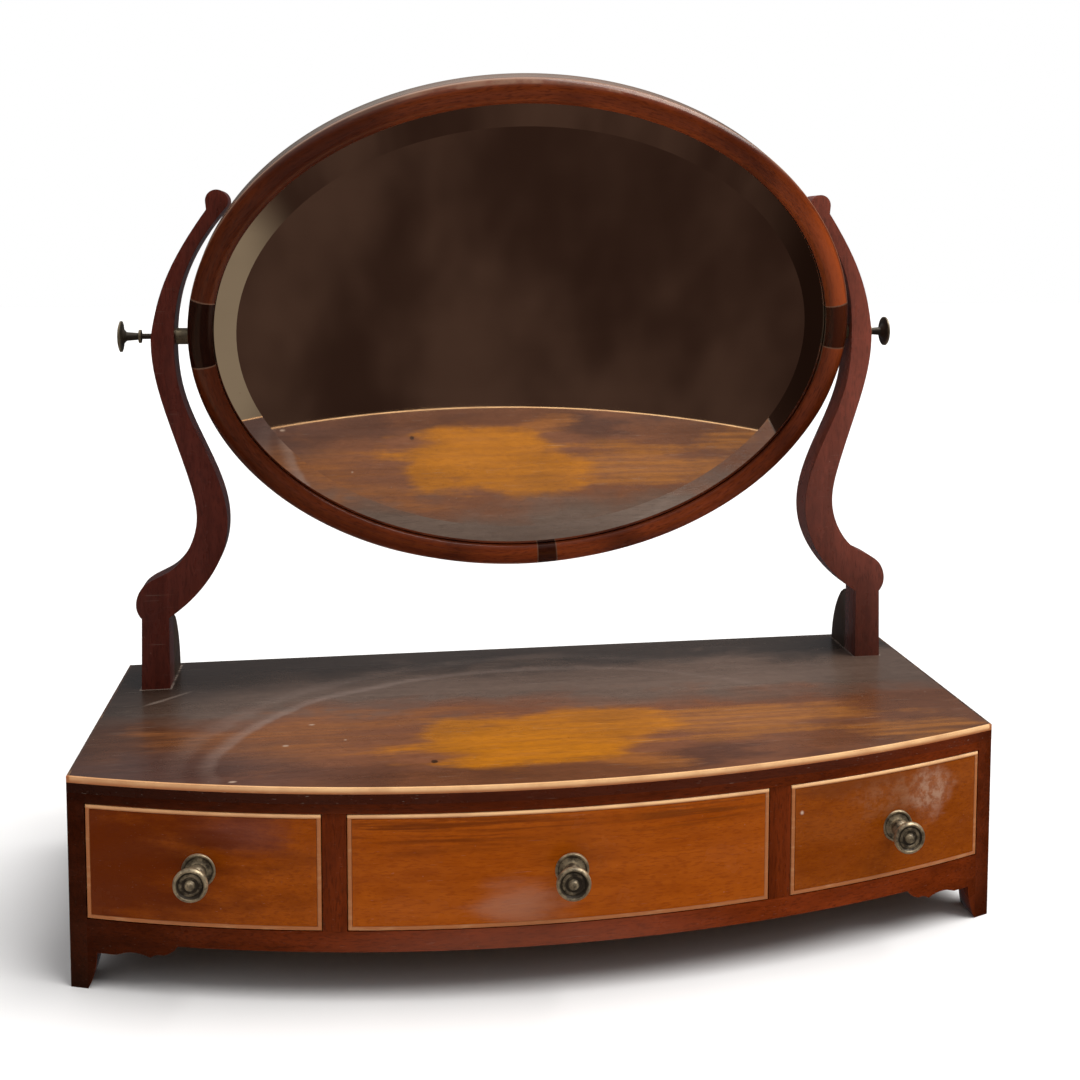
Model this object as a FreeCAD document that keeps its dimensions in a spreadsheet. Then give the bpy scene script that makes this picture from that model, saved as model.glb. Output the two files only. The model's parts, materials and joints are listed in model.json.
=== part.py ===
import FreeCAD, Part
import math
import os
import re
import Sketcher

# A bow-fronted toilet mirror: a low case with three drawers carries two serpentine posts, and an
# oval bevelled mirror tilts between them on two thumb screws.
#
# Bench frame used below: X to the right, Y to the back, Z up. Y is 0 at the front corners of the
# case and Z is 0 on the table. Each finished piece is then moved along Y by ORIGIN_SHIFT, which
# puts the origin under the middle of the whole object.

os.makedirs("parts", exist_ok=True)
doc = FreeCAD.newDocument("ToiletMirror")

# ---------------------------------------------------------------- driving dimensions (mm, degrees)

SIZES = [
    ("case_width", 600, "width of the case"),
    ("case_depth", 216, "depth of the case at its ends"),
    ("bow_rise", 53, "how far the front bows out past its corners"),
    ("case_height", 133, "top surface above the table"),
    ("top_thick", 10, "top board"),
    ("rail_thick", 6, "rail and kickers under the top board"),
    ("rail_depth", 32, "front rail, front to back"),
    ("side_thick", 11, "end panels"),
    ("back_thick", 6, "back panel"),
    ("floor_thick", 6, "dust board that the drawers run on"),
    ("floor_height", 44.4, "top of the dust board"),
    ("apron_thick", 16, "bracket apron, front to back"),
    ("apron_bottom", 31.5, "straight lower edge of the apron"),
    ("partition_offset", 138.4, "middle of each partition from the centre line"),
    ("partition_thick", 14.6, "partitions between the drawers"),
    ("kicker_width", 11, "kicker strip on each side of a partition"),
    ("line_height", 3.8, "inlaid line along the top edge, height"),
    ("line_depth", 1.6, "inlaid line along the top edge, depth"),
    ("toe_length", 11, "foot on the table, along the front"),
    ("side_toe_length", 18, "foot on the table, along the end"),
    ("ankle_run", 6, "how far the foot slopes inward as it rises"),
    ("bracket_drop", 8.2, "how far the bracket hangs under the apron edge"),
    ("bracket_run", 50, "length of the bracket beside the foot"),
    ("block_size", 16, "glue blocks in the corners"),
    ("block_lift", 23.6, "glue blocks above the table"),
    ("stop_thick", 3.5, "drawer stop"),
    ("stop_width", 24, "drawer stop, along the front"),
    ("stop_depth", 12, "drawer stop, front to back"),
    ("fit_gap", 0.4, "gap round a drawer front"),
    ("run_gap", 0.3, "gap under and beside a moving drawer"),
    ("front_thick", 14, "drawer front"),
    ("inlay_width", 2.8, "inlaid line on a drawer front, width"),
    ("inlay_depth", 1.2, "inlaid line on a drawer front, depth"),
    ("drawer_side_thick", 7, "drawer side"),
    ("drawer_side_drop", 2.5, "top of a drawer side below its opening"),
    ("drawer_back_thick", 7, "drawer back"),
    ("drawer_back_drop", 8, "top of a drawer back below its opening"),
    ("drawer_floor_thick", 4, "drawer bottom"),
    ("drawer_floor_rise", 5.5, "underside of a drawer bottom above the dust board"),
    ("drawer_back_gap", 6, "space behind a closed drawer"),
    ("knob_offset", 221.4, "end knobs from the centre line"),
    ("knob_drift", 2.1, "end knobs set to the right of true"),
    ("centre_drift", 4, "centre knob set to the right of the middle"),
    ("knob_height", 80.2, "left knob above the table"),
    ("knob_sink", 2, "centre and right knobs below the left one"),
    ("knob_splay", 5.2, "end knobs turned outward"),
    ("knob_slant", 2.6, "end knobs turned left of that"),
    ("centre_slant", 5.5, "centre knob turned to the left"),
    ("knob_radius", 10.5, "knob head"),
    ("knob_reach", 22, "knob in front of its drawer"),
    ("knob_neck", 3.7, "knob neck radius"),
    ("rose_radius", 10.4, "rose behind a knob"),
    ("rose_thick", 2.4, "rose in front of its drawer"),
    ("rose_bed", 3.5, "rose let into its drawer front"),
    ("stud_radius", 2, "knob stud"),
    ("nut_radius", 5, "nut on the knob stud"),
    ("nut_thick", 2.5, "nut on the knob stud"),
    ("post_inset", 18.7, "outer face of a post base from the end of the case"),
    ("post_width", 20, "post across its base"),
    ("post_depth", 23, "post, front to back"),
    ("post_base_height", 52.2, "square base of a post above the top board"),
    ("post_tip_height", 105.6, "post tip above the pivot"),
    ("post_lean", 2.6, "both tips leaning to the right"),
    ("post_gap", 6.7, "frame to post at the pivot"),
    ("tenon_inset", 3, "shoulder round the tenon of a post"),
    ("tenon_length", 7, "tenon let into the top board"),
    ("brace_depth", 31, "brace behind a post, front to back"),
    ("brace_drop", 4, "top of the brace below the top of the post base"),
    ("screw_radius", 1.8, "wood screw shank"),
    ("screw_head", 3.6, "wood screw head radius"),
    ("screw_bite", 16, "wood screw above the top board"),
    ("pivot_height", 390, "tilt axis above the table"),
    ("pivot_setback", 49, "tilt axis ahead of the back of the case"),
    ("mirror_tilt", 17.2, "top of the mirror leaning forward"),
    ("mirror_offset", 2.7, "mirror to the right of the middle"),
    ("sight_width", 460, "visible glass, across"),
    ("sight_height", 353, "visible glass, up"),
    ("frame_width", 17.5, "face of the frame moulding"),
    ("frame_lip", 11.6, "front of the lip ahead of the tilt axis"),
    ("frame_shoulder", 10.4, "outer edge of the moulding ahead of the tilt axis"),
    ("frame_back", 10.5, "back of the frame behind the tilt axis"),
    ("trim_room", 3.3, "oval that the frame is planed to, outside its outline"),
    ("trim_left", 3.2, "that oval to the left of the middle"),
    ("trim_up", 5, "that oval above the middle"),
    ("crown_radius", 11.6, "round of the moulding face"),
    ("rabbet_width", 6, "rabbet that holds the glass"),
    ("glass_front", 9, "glass face ahead of the tilt axis"),
    ("glass_thick", 5, "mirror plate"),
    ("glass_gap", 0.6, "room round the glass"),
    ("bevel_width", 16.5, "visible bevel of the glass"),
    ("bevel_depth", 1.3, "glass lost at the bevelled edge"),
    ("backboard_thick", 4, "board over the back of the frame"),
    ("backboard_inset", 1.5, "board inside the outline of the frame"),
    ("wedge_length", 18, "wedge block behind the glass"),
    ("boss_radius", 6, "pivot boss"),
    ("boss_socket", 9, "pivot boss let into the frame"),
    ("boss_spigot", 4.5, "part of the boss inside the frame, radius"),
    ("boss_gap", 0.4, "pivot boss to post"),
    ("thumb_shank", 2, "thumb screw shank radius"),
    ("thumb_play", 0.06, "shank in its holes, radial"),
    ("thumb_disc", 11.2, "thumb screw disc radius"),
    ("thumb_disc_thick", 2.6, "thumb screw disc"),
    ("thumb_stem", 3.2, "thumb screw stem radius"),
    ("thumb_collar", 4.8, "thumb screw collar radius"),
    ("thumb_collar_thick", 2.6, "thumb screw collar"),
    ("left_stem_length", 10.6, "left thumb screw between disc and collar"),
    ("right_stem_length", 9.8, "right thumb screw between disc and collar"),
    ("left_backed_out", 7.6, "left collar from its post"),
    ("right_backed_out", 1, "right collar from its post"),
]

sheet = doc.addObject("Spreadsheet::Sheet", "Sizes")
for row, (alias, value, note) in enumerate(SIZES, start=1):
    sheet.set(f"A{row}", alias)
    sheet.set(f"B{row}", str(value))
    sheet.set(f"C{row}", note)
    sheet.setAlias(f"B{row}", alias)
doc.recompute()

ALIASES = {alias for alias, value, note in SIZES}


def formula(text):
    """An expression for setExpression, with each size name pointing at the sheet."""
    def point(match):
        word = match.group()
        return "Sizes." + word if word in ALIASES else word
    return re.sub(r"[A-Za-z_]+", point, str(text))


def size(text):
    """The present value of an expression, in mm or degrees."""
    value = sheet.evalExpression(formula(text))
    return float(getattr(value, "Value", value))


# ---------------------------------------------------------------- sizes worked out from the sheet

HALF = "(case_width / 2)"
BOW_RADIUS = "((case_width ^ 2 / 4 + bow_rise ^ 2) / (2 * bow_rise))"
BOW_CENTRE = f"({BOW_RADIUS} - bow_rise)"
TOP_UNDER = "(case_height - top_thick)"
BAY_TOP = f"({TOP_UNDER} - rail_thick)"
SIDE_INNER = f"({HALF} - side_thick)"
BACK_INNER = "(case_depth - back_thick)"
PARTITION_INNER = "(partition_offset - partition_thick / 2)"
PARTITION_OUTER = "(partition_offset + partition_thick / 2)"
BASE_OUTER = f"({HALF} - post_inset)"
BASE_INNER = f"({BASE_OUTER} - post_width)"
PIVOT_Y = "(case_depth - pivot_setback)"
POST_FRONT = f"({PIVOT_Y} - post_depth / 2)"
POST_BACK = f"({PIVOT_Y} + post_depth / 2)"
BASE_TOP = "(case_height + post_base_height)"
SIGHT_A = "(sight_width / 2)"
SIGHT_B = "(sight_height / 2)"
PIVOT_INNER = f"({SIGHT_A} + frame_width + post_gap)"
NOSE_WIDTH = "(post_width * 0.8)"
MIRROR_BACK = "(frame_back + backboard_thick)"
FRONT_REACH = "(bow_rise + knob_reach)"
BACK_REACH = (f"({PIVOT_Y} + ({SIGHT_B} + frame_width - backboard_inset) * sin(mirror_tilt * 1deg)"
              f" + {MIRROR_BACK} * cos(mirror_tilt * 1deg))")
ORIGIN_SHIFT = f"(({FRONT_REACH} - {BACK_REACH}) / 2)"

# ---------------------------------------------------------------- small makers

finished = []


def bind(thing, bindings):
    for place, text in bindings.items():
        thing.setExpression(place, formula(text))


def block(name, x, y, z):
    """A Part::Box between two expressions along each axis."""
    thing = doc.addObject("Part::Box", name)
    for side, axis, (low, high) in (("Length", "x", x), ("Width", "y", y), ("Height", "z", z)):
        bind(thing, {side: f"({high}) - ({low})", "Placement.Base." + axis: low})
    return thing


def drum(name, radius, z, x="0", y="0"):
    """An upright Part::Cylinder."""
    thing = doc.addObject("Part::Cylinder", name)
    bind(thing, {"Radius": radius, "Height": f"({z[1]}) - ({z[0]})",
                 "Placement.Base.x": x, "Placement.Base.y": y, "Placement.Base.z": z[0]})
    return thing


def cross_rod(name, radius, x, y, z):
    """A Part::Cylinder along X."""
    thing = doc.addObject("Part::Cylinder", name)
    thing.Placement = FreeCAD.Placement(FreeCAD.Vector(), FreeCAD.Rotation(FreeCAD.Vector(0, 1, 0), 90))
    bind(thing, {"Radius": radius, "Height": f"({x[1]}) - ({x[0]})",
                 "Placement.Base.x": x[0], "Placement.Base.y": y, "Placement.Base.z": z})
    return thing


def cut(name, base, *tools):
    for number, tool in enumerate(tools, start=1):
        last = number == len(tools)
        thing = doc.addObject("Part::Cut", name if last else f"{name}_{number}")
        thing.Base = base
        thing.Tool = tool
        base = thing
    return base


def common(name, *shapes):
    thing = doc.addObject("Part::MultiCommon", name)
    thing.Shapes = list(shapes)
    return thing


def fuse(name, *shapes):
    thing = doc.addObject("Part::MultiFuse", name)
    thing.Shapes = list(shapes)
    return thing


def group(name, shapes):
    thing = doc.addObject("Part::Compound", name)
    thing.Links = list(shapes)
    return thing


def body(name):
    return doc.addObject("PartDesign::Body", name)


def sketch_on(owner, name, plane):
    """A sketch on one of the body's own origin planes."""
    sketch = owner.newObject("Sketcher::SketchObject", name)
    plane = next(one for one in owner.Origin.OriginFeatures if one.Role == plane)
    sketch.AttachmentSupport = [(plane, "")]
    sketch.MapMode = "FlatFace"
    return sketch


def arc_through(start, end, radius):
    """An arc between two points. It passes on the right of the way from start to end when the
    radius is positive, and on the left when it is negative."""
    chord = end - start
    middle = (start + end) * 0.5
    right = FreeCAD.Vector(chord.y, -chord.x, 0).normalize() * math.copysign(1, radius)
    reach = abs(radius)
    back = math.sqrt(max(reach ** 2 - chord.Length ** 2 / 4, 0))
    return Part.Arc(start, middle + right * (reach - back), end)


def outline(sketch, path):
    """Draw a closed outline. Each step of the path is (x, y) for a straight edge to that corner or
    (x, y, radius) for an arc. Corners and radii are bound to the sheet."""
    corners = [FreeCAD.Vector(size(step[0]), size(step[1]), 0) for step in path]
    for number, step in enumerate(path):
        start, end = corners[number - 1], corners[number]
        if len(step) == 3:
            sketch.addGeometry(arc_through(start, end, size(step[2])))
        else:
            sketch.addGeometry(Part.LineSegment(start, end))
    count = len(path)
    ends = []
    for number, step in enumerate(path):
        ends.append(end_of(sketch, number, corners[number]))
    for number, step in enumerate(path):
        after = (number + 1) % count
        first = 3 - ends[after]
        sketch.addConstraint(Sketcher.Constraint("Coincident", number, ends[number], after, first))
        for kind, text in (("DistanceX", step[0]), ("DistanceY", step[1])):
            place = sketch.addConstraint(
                Sketcher.Constraint(kind, -1, 1, number, ends[number], size(text)))
            sketch.setExpression(f"Constraints[{place}]", formula(text))
        if len(step) == 3:
            place = sketch.addConstraint(Sketcher.Constraint("Radius", number, abs(size(step[2]))))
            sketch.setExpression(f"Constraints[{place}]", formula(f"abs({step[2]})"))


def end_of(sketch, number, corner):
    """Which end of an edge, 1 or 2, lies at a corner."""
    far = sketch.getPoint(number, 2)
    near = sketch.getPoint(number, 1)
    return 2 if far.distanceToPoint(corner) < near.distanceToPoint(corner) else 1


def padded_sketch(name, plane, path, length):
    """A body padded from an outline."""
    owner = body(name)
    sketch = sketch_on(owner, name + "_outline", plane)
    outline(sketch, path)
    pad = owner.newObject("PartDesign::Pad", name + "_pad")
    pad.Profile = sketch
    bind(pad, {"Length": length})
    owner.Tip = pad
    return owner


def turned(name, axis, path):
    """A body turned from a half outline, about the sketch's H_Axis (X) or V_Axis (Y)."""
    owner = body(name)
    sketch = sketch_on(owner, name + "_outline", "XY_Plane")
    outline(sketch, path)
    turn = owner.newObject("PartDesign::Revolution", name + "_turn")
    turn.Profile = sketch
    turn.ReferenceAxis = (sketch, [axis])
    turn.Angle = 360
    turn.Refine = False
    owner.Tip = turn
    return owner


def finish(thing, label):
    """Name a piece of the case or a drawer and move it to the object's own origin."""
    if thing.TypeId == "Part::Box":
        thing.Label = label + "_blank"
        thing = group(label + "_whole", [thing])
    thing.Label = label
    bind(thing, {"Placement.Base.y": ORIGIN_SHIFT})
    finished.append(thing)


def finish_on_mirror(thing, label):
    """Name a piece drawn round the pivot on an upright mirror, and lean it with the mirror."""
    thing.Label = label
    thing.Placement = FreeCAD.Placement(FreeCAD.Vector(),
                                        FreeCAD.Rotation(FreeCAD.Vector(1, 0, 0), size("mirror_tilt")))
    bind(thing, {"Placement.Rotation.Angle": "mirror_tilt * 1deg",
                 "Placement.Base.x": "mirror_offset",
                 "Placement.Base.y": f"{PIVOT_Y} + {ORIGIN_SHIFT}",
                 "Placement.Base.z": "pivot_height"})
    finished.append(thing)
    return thing


SIDES = (("left", -1), ("right", 1))


def span(sign, low, high):
    """A range along X on the left (-1) or right (1) of the middle."""
    return (low, high) if sign > 0 else (f"-({high})", f"-({low})")


# ---------------------------------------------------------------- the case

def bow_drum(name, inset="0"):
    """Everything behind the bowed front, or behind a face some way inside it."""
    return drum(name, f"{BOW_RADIUS} - ({inset})", ("-1", "case_height + 1"), y=BOW_CENTRE)


BOW = bow_drum("bow")
WHOLE_X = (f"-{HALF}", HALF)
CASE_Y = ("-bow_rise - 1", "case_depth")


def make_top():
    board = common("top_outline", block("top_blank", WHOLE_X, CASE_Y, (TOP_UNDER, "case_height")), BOW)
    inner = block("top_inner_blank", (f"line_depth - {HALF}", f"{HALF} - line_depth"),
                  ("-bow_rise - 1", "case_depth + 1"), (TOP_UNDER, "case_height + 1"))
    inner = common("top_inner", inner, bow_drum("bow_inside_line", "line_depth"))
    edge_z = ("case_height - line_height", "case_height + 1")
    edge = cut("edge_band", block("edge_zone", (f"-{HALF} - 1", f"{HALF} + 1"),
                                  ("-bow_rise - 2", "case_depth + 1"), edge_z), inner)
    sockets = []
    for side, sign in SIDES:
        x = span(sign, f"{BASE_INNER} + tenon_inset", f"{BASE_OUTER} - tenon_inset")
        y = (f"{POST_FRONT} + tenon_inset", f"{POST_BACK} - tenon_inset")
        sockets.append(block(f"mortise_{side}", x, y, ("case_height - tenon_length", "case_height + 1")))
    sockets += [post_screw("hole_" + name, x, y) for name, x, y in post_screw_places()]
    finish(cut("top_board", board, edge, *sockets), "top_board")
    line = common("top_line_blank", board, edge)
    front = block("line_front_zone", (f"-{HALF}", HALF), ("-bow_rise - 1", "line_depth * 2"), edge_z)
    ring = cut("line_front_ring", bow_drum("bow_for_line"), bow_drum("bow_behind_line", "line_depth"))
    strip = common("line_front", line, ring, front)
    rest = cut("line_sides", line, ring)
    finish(group("top_stringing", [strip, rest]), "top_stringing")


def post_screw_places():
    """The wood screws that come up through the top board into the posts and braces."""
    for side, sign in SIDES:
        x = f"({sign}) * ({BASE_INNER} + {BASE_OUTER}) / 2 - ({sign}) * 2 * screw_radius"
        for spot, y in (("post", PIVOT_Y), ("brace", f"{POST_BACK} + brace_depth / 2")):
            yield f"{side}_{spot}", x, y


def post_screw(name, x, y):
    """A countersunk screw, its head flush under the top board."""
    shank = drum(name + "_shank", "screw_radius", (TOP_UNDER, "case_height + screw_bite"), x, y)
    head = doc.addObject("Part::Cone", name + "_head")
    bind(head, {"Radius1": "screw_head", "Radius2": "screw_radius", "Height": "screw_head - screw_radius",
                "Placement.Base.x": x, "Placement.Base.y": y, "Placement.Base.z": TOP_UNDER})
    return fuse(name, shank, head)


def bracket_path(corner, sign, toe):
    """The lower edge beside a foot, from its toe to the straight edge: a slope, a small nick and a
    hanging ogee. The corner is where the foot stands and the sign says which way is inward."""
    def along(run):
        return f"{corner} + ({sign}) * ({run})"
    ankle = f"{toe} + ankle_run"
    low = "(apron_bottom - bracket_drop)"
    return [
        (along(toe), "0"),
        (along(ankle), f"{low}", f"({sign}) * apron_bottom * 1.6"),
        (along(f"{ankle} + bracket_run * 0.24"), low),
        (along(f"{ankle} + bracket_run * 0.36"), f"{low} + bracket_drop * 0.25"),
        (along(f"{ankle} + bracket_run * 0.66"), low, f"({sign}) * -bracket_run * 0.5"),
        (along(f"{ankle} + bracket_run * 0.82"), f"{low} + bracket_drop * 0.24",
         f"({sign}) * -bracket_run * 0.19"),
        (along(f"{ankle} + bracket_run"), "apron_bottom", f"({sign}) * bracket_run * 0.3"),
    ]


def make_apron():
    left = bracket_path(f"-{HALF}", 1, "toe_length")
    right = bracket_path(HALF, -1, "toe_length")
    path = left + mirrored_order(right)
    path += [(SIDE_INNER, "floor_height"), (f"-{SIDE_INNER}", "floor_height")]
    plate = padded_sketch("apron_plate", "XZ_Plane", path, "case_width")
    bind(plate, {"Placement.Base.y": "case_width / 2"})
    back = bow_drum("bow_behind_apron", "apron_thick")
    ends = block("apron_zone", (f"-{SIDE_INNER}", SIDE_INNER), ("-bow_rise - 1", "case_depth"),
                 ("-1", "floor_height + 1"))
    finish(cut("front_apron", common("apron_bowed", plate, BOW, ends), back), "front_apron")


def mirrored_order(steps):
    """The same edges walked the other way: each arc's radius moves to the corner it now ends at."""
    corners = [step[:2] for step in steps]
    bends = [step[2] if len(step) == 3 else None for step in steps[1:]]
    turned_round = [corners[-1]]
    for corner, bend in zip(reversed(corners[:-1]), reversed(bends)):
        turned_round.append(corner if bend is None else corner + (f"-({bend})",))
    return turned_round


def make_sides():
    front = "bow_rise * -0.2"
    for side, sign in SIDES:
        path = bracket_path("0", 1, "side_toe_length")
        path += mirrored_order(bracket_path("case_depth", -1, "side_toe_length"))
        path += [("case_depth", "0"), ("case_depth", TOP_UNDER), (front, TOP_UNDER), (front, "0")]
        panel = padded_sketch(f"{side}_end", "YZ_Plane", path, "side_thick")
        bind(panel, {"Placement.Base.x": SIDE_INNER if sign > 0 else f"-{HALF}"})
        finish(common(f"side_{side}", panel, BOW), f"side_{side}")


def make_carcase_boards():
    inside = (f"-{SIDE_INNER}", SIDE_INNER)
    floor_z = ("floor_height - floor_thick", "floor_height")
    finish(block("back_panel", inside, (BACK_INNER, "case_depth"), ("apron_bottom", TOP_UNDER)), "back_panel")
    floor = block("floor_blank", inside, ("-bow_rise", BACK_INNER), floor_z)
    finish(common("bottom_board", floor, bow_drum("bow_for_floor", "apron_thick")), "bottom_board")
    rail_z = (BAY_TOP, TOP_UNDER)
    rail = common("rail_blank", block("rail_zone", inside, CASE_Y, rail_z), BOW)
    finish(cut("top_rail", rail, bow_drum("bow_behind_rail", "rail_depth")), "top_rail")
    for side, sign in SIDES:
        x = span(sign, PARTITION_INNER, PARTITION_OUTER)
        board = block(f"{side}_partition_blank", x, ("-bow_rise - 1", BACK_INNER), ("floor_height", BAY_TOP))
        finish(common(f"partition_{side}", board, BOW), f"partition_{side}")
    behind_rail = bow_drum("bow_for_kickers", "rail_depth")
    strips = []
    for side, sign in SIDES:
        over = span(sign, f"{PARTITION_INNER} - kicker_width", f"{PARTITION_OUTER} + kicker_width")
        beside = span(sign, f"{SIDE_INNER} - kicker_width", SIDE_INNER)
        for spot, x in (("over", over), ("beside", beside)):
            strip = block(f"{side}_{spot}_strip", x, ("-bow_rise - 1", BACK_INNER), rail_z)
            strips.append(common(f"{side}_{spot}_kicker", strip, behind_rail))
    finish(group("kickers", strips), "kickers")


def make_blocks():
    blocks = []
    height = ("block_lift", "floor_height - floor_thick")
    for side, sign in SIDES:
        x = span(sign, f"{SIDE_INNER} - block_size", SIDE_INNER)
        front = block(f"{side}_front_block_blank", x, ("-bow_rise", "apron_thick + block_size"), height)
        blocks.append(common(f"{side}_front_block", front, bow_drum(f"bow_{side}_block", "apron_thick")))
        blocks.append(block(f"{side}_back_block", x, ("case_depth - block_size", "case_depth"),
                            ("block_lift", "apron_bottom")))
    finish(group("foot_blocks", blocks), "foot_blocks")


def make_stops():
    behind = "(front_thick + run_gap)"
    ring = cut("stop_ring", bow_drum("bow_before_stops", behind),
               bow_drum("bow_after_stops", f"{behind} + stop_depth"))
    stops = []
    for name, low, high in DRAWERS:
        for spot, share in (("a", "0.25"), ("b", "0.75")):
            middle = f"(({low}) * (1 - {share}) + ({high}) * {share})"
            x = (f"{middle} - stop_width / 2", f"{middle} + stop_width / 2")
            blank = block(f"{name}_stop_{spot}_blank", x, CASE_Y,
                          ("floor_height", "floor_height + stop_thick"))
            stops.append(common(f"{name}_stop_{spot}", blank, ring))
    finish(group("drawer_stops", stops), "drawer_stops")


# ---------------------------------------------------------------- the posts

# Corners of the post outline. Each is a place across the post and a height: across is counted in
# post widths outward from the line that joins the inner faces at the base and at the pivot, and
# height runs from 0 at the top of the base to 1 at the pivot, or from 0 at the pivot to 1 at the tip.
LOWER_OUTER = [(0.95, 0), (1.16, 0.05), (0.97, 0.11), (-0.05, 0.172), (-0.53, 0.225), (-0.91, 0.343),
               (-0.63, 0.49), (0.15, 0.706), (0.71, 0.9), (0.8, 1)]
UPPER_OUTER = [(0.8, 0), (0.7, 0.125), (0.32, 0.386), (-0.36, 0.651), (-1.08, 0.865)]
UPPER_INNER = [(-1.73, 0.87), (-0.91, 0.651), (-0.28, 0.386), (0, 0)]
LOWER_INNER = [(0, 1), (-0.24, 0.81), (-1.32, 0.564), (-2, 0.348), (-1.92, 0.252), (-1.43, 0.142),
               (-0.69, 0.054), (0, 0)]


def post_points(places, lower, sign):
    base, pivot = size(BASE_INNER), size(PIVOT_INNER)
    width = size("post_width")
    bottom = size(BASE_TOP) if lower else size("pivot_height")
    height = size("pivot_height") - bottom if lower else size("post_tip_height")
    lean = sign * size("post_lean")
    points = []
    for across, up in places:
        inner = base + (pivot - base) * up if lower else pivot + lean * up
        points.append(FreeCAD.Vector(inner + across * width, 0, bottom + up * height))
    return points


def smooth(points):
    curve = Part.BSplineCurve()
    curve.interpolate(points)
    return curve.toShape()


def post_face(sign):
    """The serpentine outline of a post with its rounded tip, drawn on the right-hand side."""
    lower_out = post_points(LOWER_OUTER, True, sign)
    upper_out = post_points(UPPER_OUTER, False, sign)
    upper_in = post_points(UPPER_INNER, False, sign)
    lower_in = post_points(LOWER_INNER, True, sign)
    inner = upper_in + lower_in[1:]
    tip = FreeCAD.Vector((upper_out[-1].x + upper_in[0].x) / 2, 0,
                         size("pivot_height + post_tip_height"))
    base_out = FreeCAD.Vector(size(BASE_OUTER), 0, size("case_height"))
    base_in = FreeCAD.Vector(size(BASE_INNER), 0, size("case_height"))
    bulb_out = FreeCAD.Vector(upper_out[-1].x + size("post_width * 0.03"), 0,
                              upper_out[-1].z + size("post_width * 0.3"))
    edges = [
        Part.LineSegment(base_out, lower_out[0]).toShape(),
        smooth(lower_out),
        smooth(upper_out),
        Part.LineSegment(upper_out[-1], bulb_out).toShape(),
        Part.Arc(bulb_out, tip, upper_in[0]).toShape(),
        smooth(inner),
        Part.LineSegment(lower_in[-1], base_in).toShape(),
        Part.LineSegment(base_in, base_out).toShape(),
    ]
    return Part.Face(Part.Wire(edges))


def make_posts():
    screws = {name: (x, y) for name, x, y in post_screw_places()}
    for side, sign in SIDES:
        face = post_face(sign)
        face.translate(FreeCAD.Vector(0, size(POST_FRONT), 0))
        solid = face.extrude(FreeCAD.Vector(0, size("post_depth"), 0))
        upright = doc.addObject("Part::Feature", f"{side}_upright")
        upright.Shape = solid if sign > 0 else solid.mirror(FreeCAD.Vector(), FreeCAD.Vector(1, 0, 0))
        x = span(sign, f"{BASE_INNER} + tenon_inset", f"{BASE_OUTER} - tenon_inset")
        y = (f"{POST_FRONT} + tenon_inset", f"{POST_BACK} - tenon_inset")
        tenon = block(f"{side}_tenon", x, y, ("case_height - tenon_length", "case_height + 1"))
        hole_x = span(sign, f"{PIVOT_INNER} - 1", f"{PIVOT_INNER} + {NOSE_WIDTH} + 1")
        hole = cross_rod(f"{side}_pivot_hole", "thumb_shank + thumb_play", hole_x, PIVOT_Y, "pivot_height")
        screw = post_screw(f"{side}_post_pilot", *screws[f"{side}_post"])
        finish(cut(f"post_{side}", fuse(f"{side}_post_blank", upright, tenon), hole, screw), f"post_{side}")
        make_brace(side, sign, screws[f"{side}_brace"])
    finish(group("post_screws", [post_screw(name + "_screw", x, y) for name, x, y in post_screw_places()]),
           "post_screws")


def make_brace(side, sign, screw_place):
    """The shaped block behind a post, which stops it racking."""
    top = f"({BASE_TOP} - brace_drop)"
    back = f"({POST_BACK} + brace_depth)"
    path = [(POST_BACK, "case_height"), (back, "case_height"),
            (f"{POST_BACK} + brace_depth * 0.32", f"{top} - brace_drop", "post_base_height * 1.2"),
            (f"{POST_BACK} + brace_depth * 0.2", f"{top} - brace_drop * 0.5"),
            (POST_BACK, top, "brace_depth * 0.3")]
    plate = padded_sketch(f"{side}_brace_plate", "YZ_Plane", path, "post_width")
    bind(plate, {"Placement.Base.x": BASE_INNER if sign > 0 else f"-{BASE_OUTER}"})
    pilot = post_screw(f"{side}_brace_pilot", *screw_place)
    finish(cut(f"post_brace_{side}", plate, pilot), f"post_brace_{side}")


# ---------------------------------------------------------------- the drawers

DRAWERS = [
    ("left", f"-{SIDE_INNER}", f"-{PARTITION_OUTER}"),
    ("centre", f"-{PARTITION_INNER}", PARTITION_INNER),
    ("right", PARTITION_OUTER, SIDE_INNER),
]
# Each knob's place across, its turn to the right and its height.
KNOBS = {
    "left": ("knob_drift - knob_offset", "-knob_splay - knob_slant", "knob_height"),
    "centre": ("centre_drift", "-centre_slant", "knob_height - knob_sink"),
    "right": ("knob_drift + knob_offset", "knob_splay - knob_slant", "knob_height - knob_sink"),
}


def bow_at(x):
    """The front face's place along Y at a distance from the middle."""
    return f"({BOW_CENTRE} - sqrt({BOW_RADIUS} ^ 2 - ({x}) ^ 2))"


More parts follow.
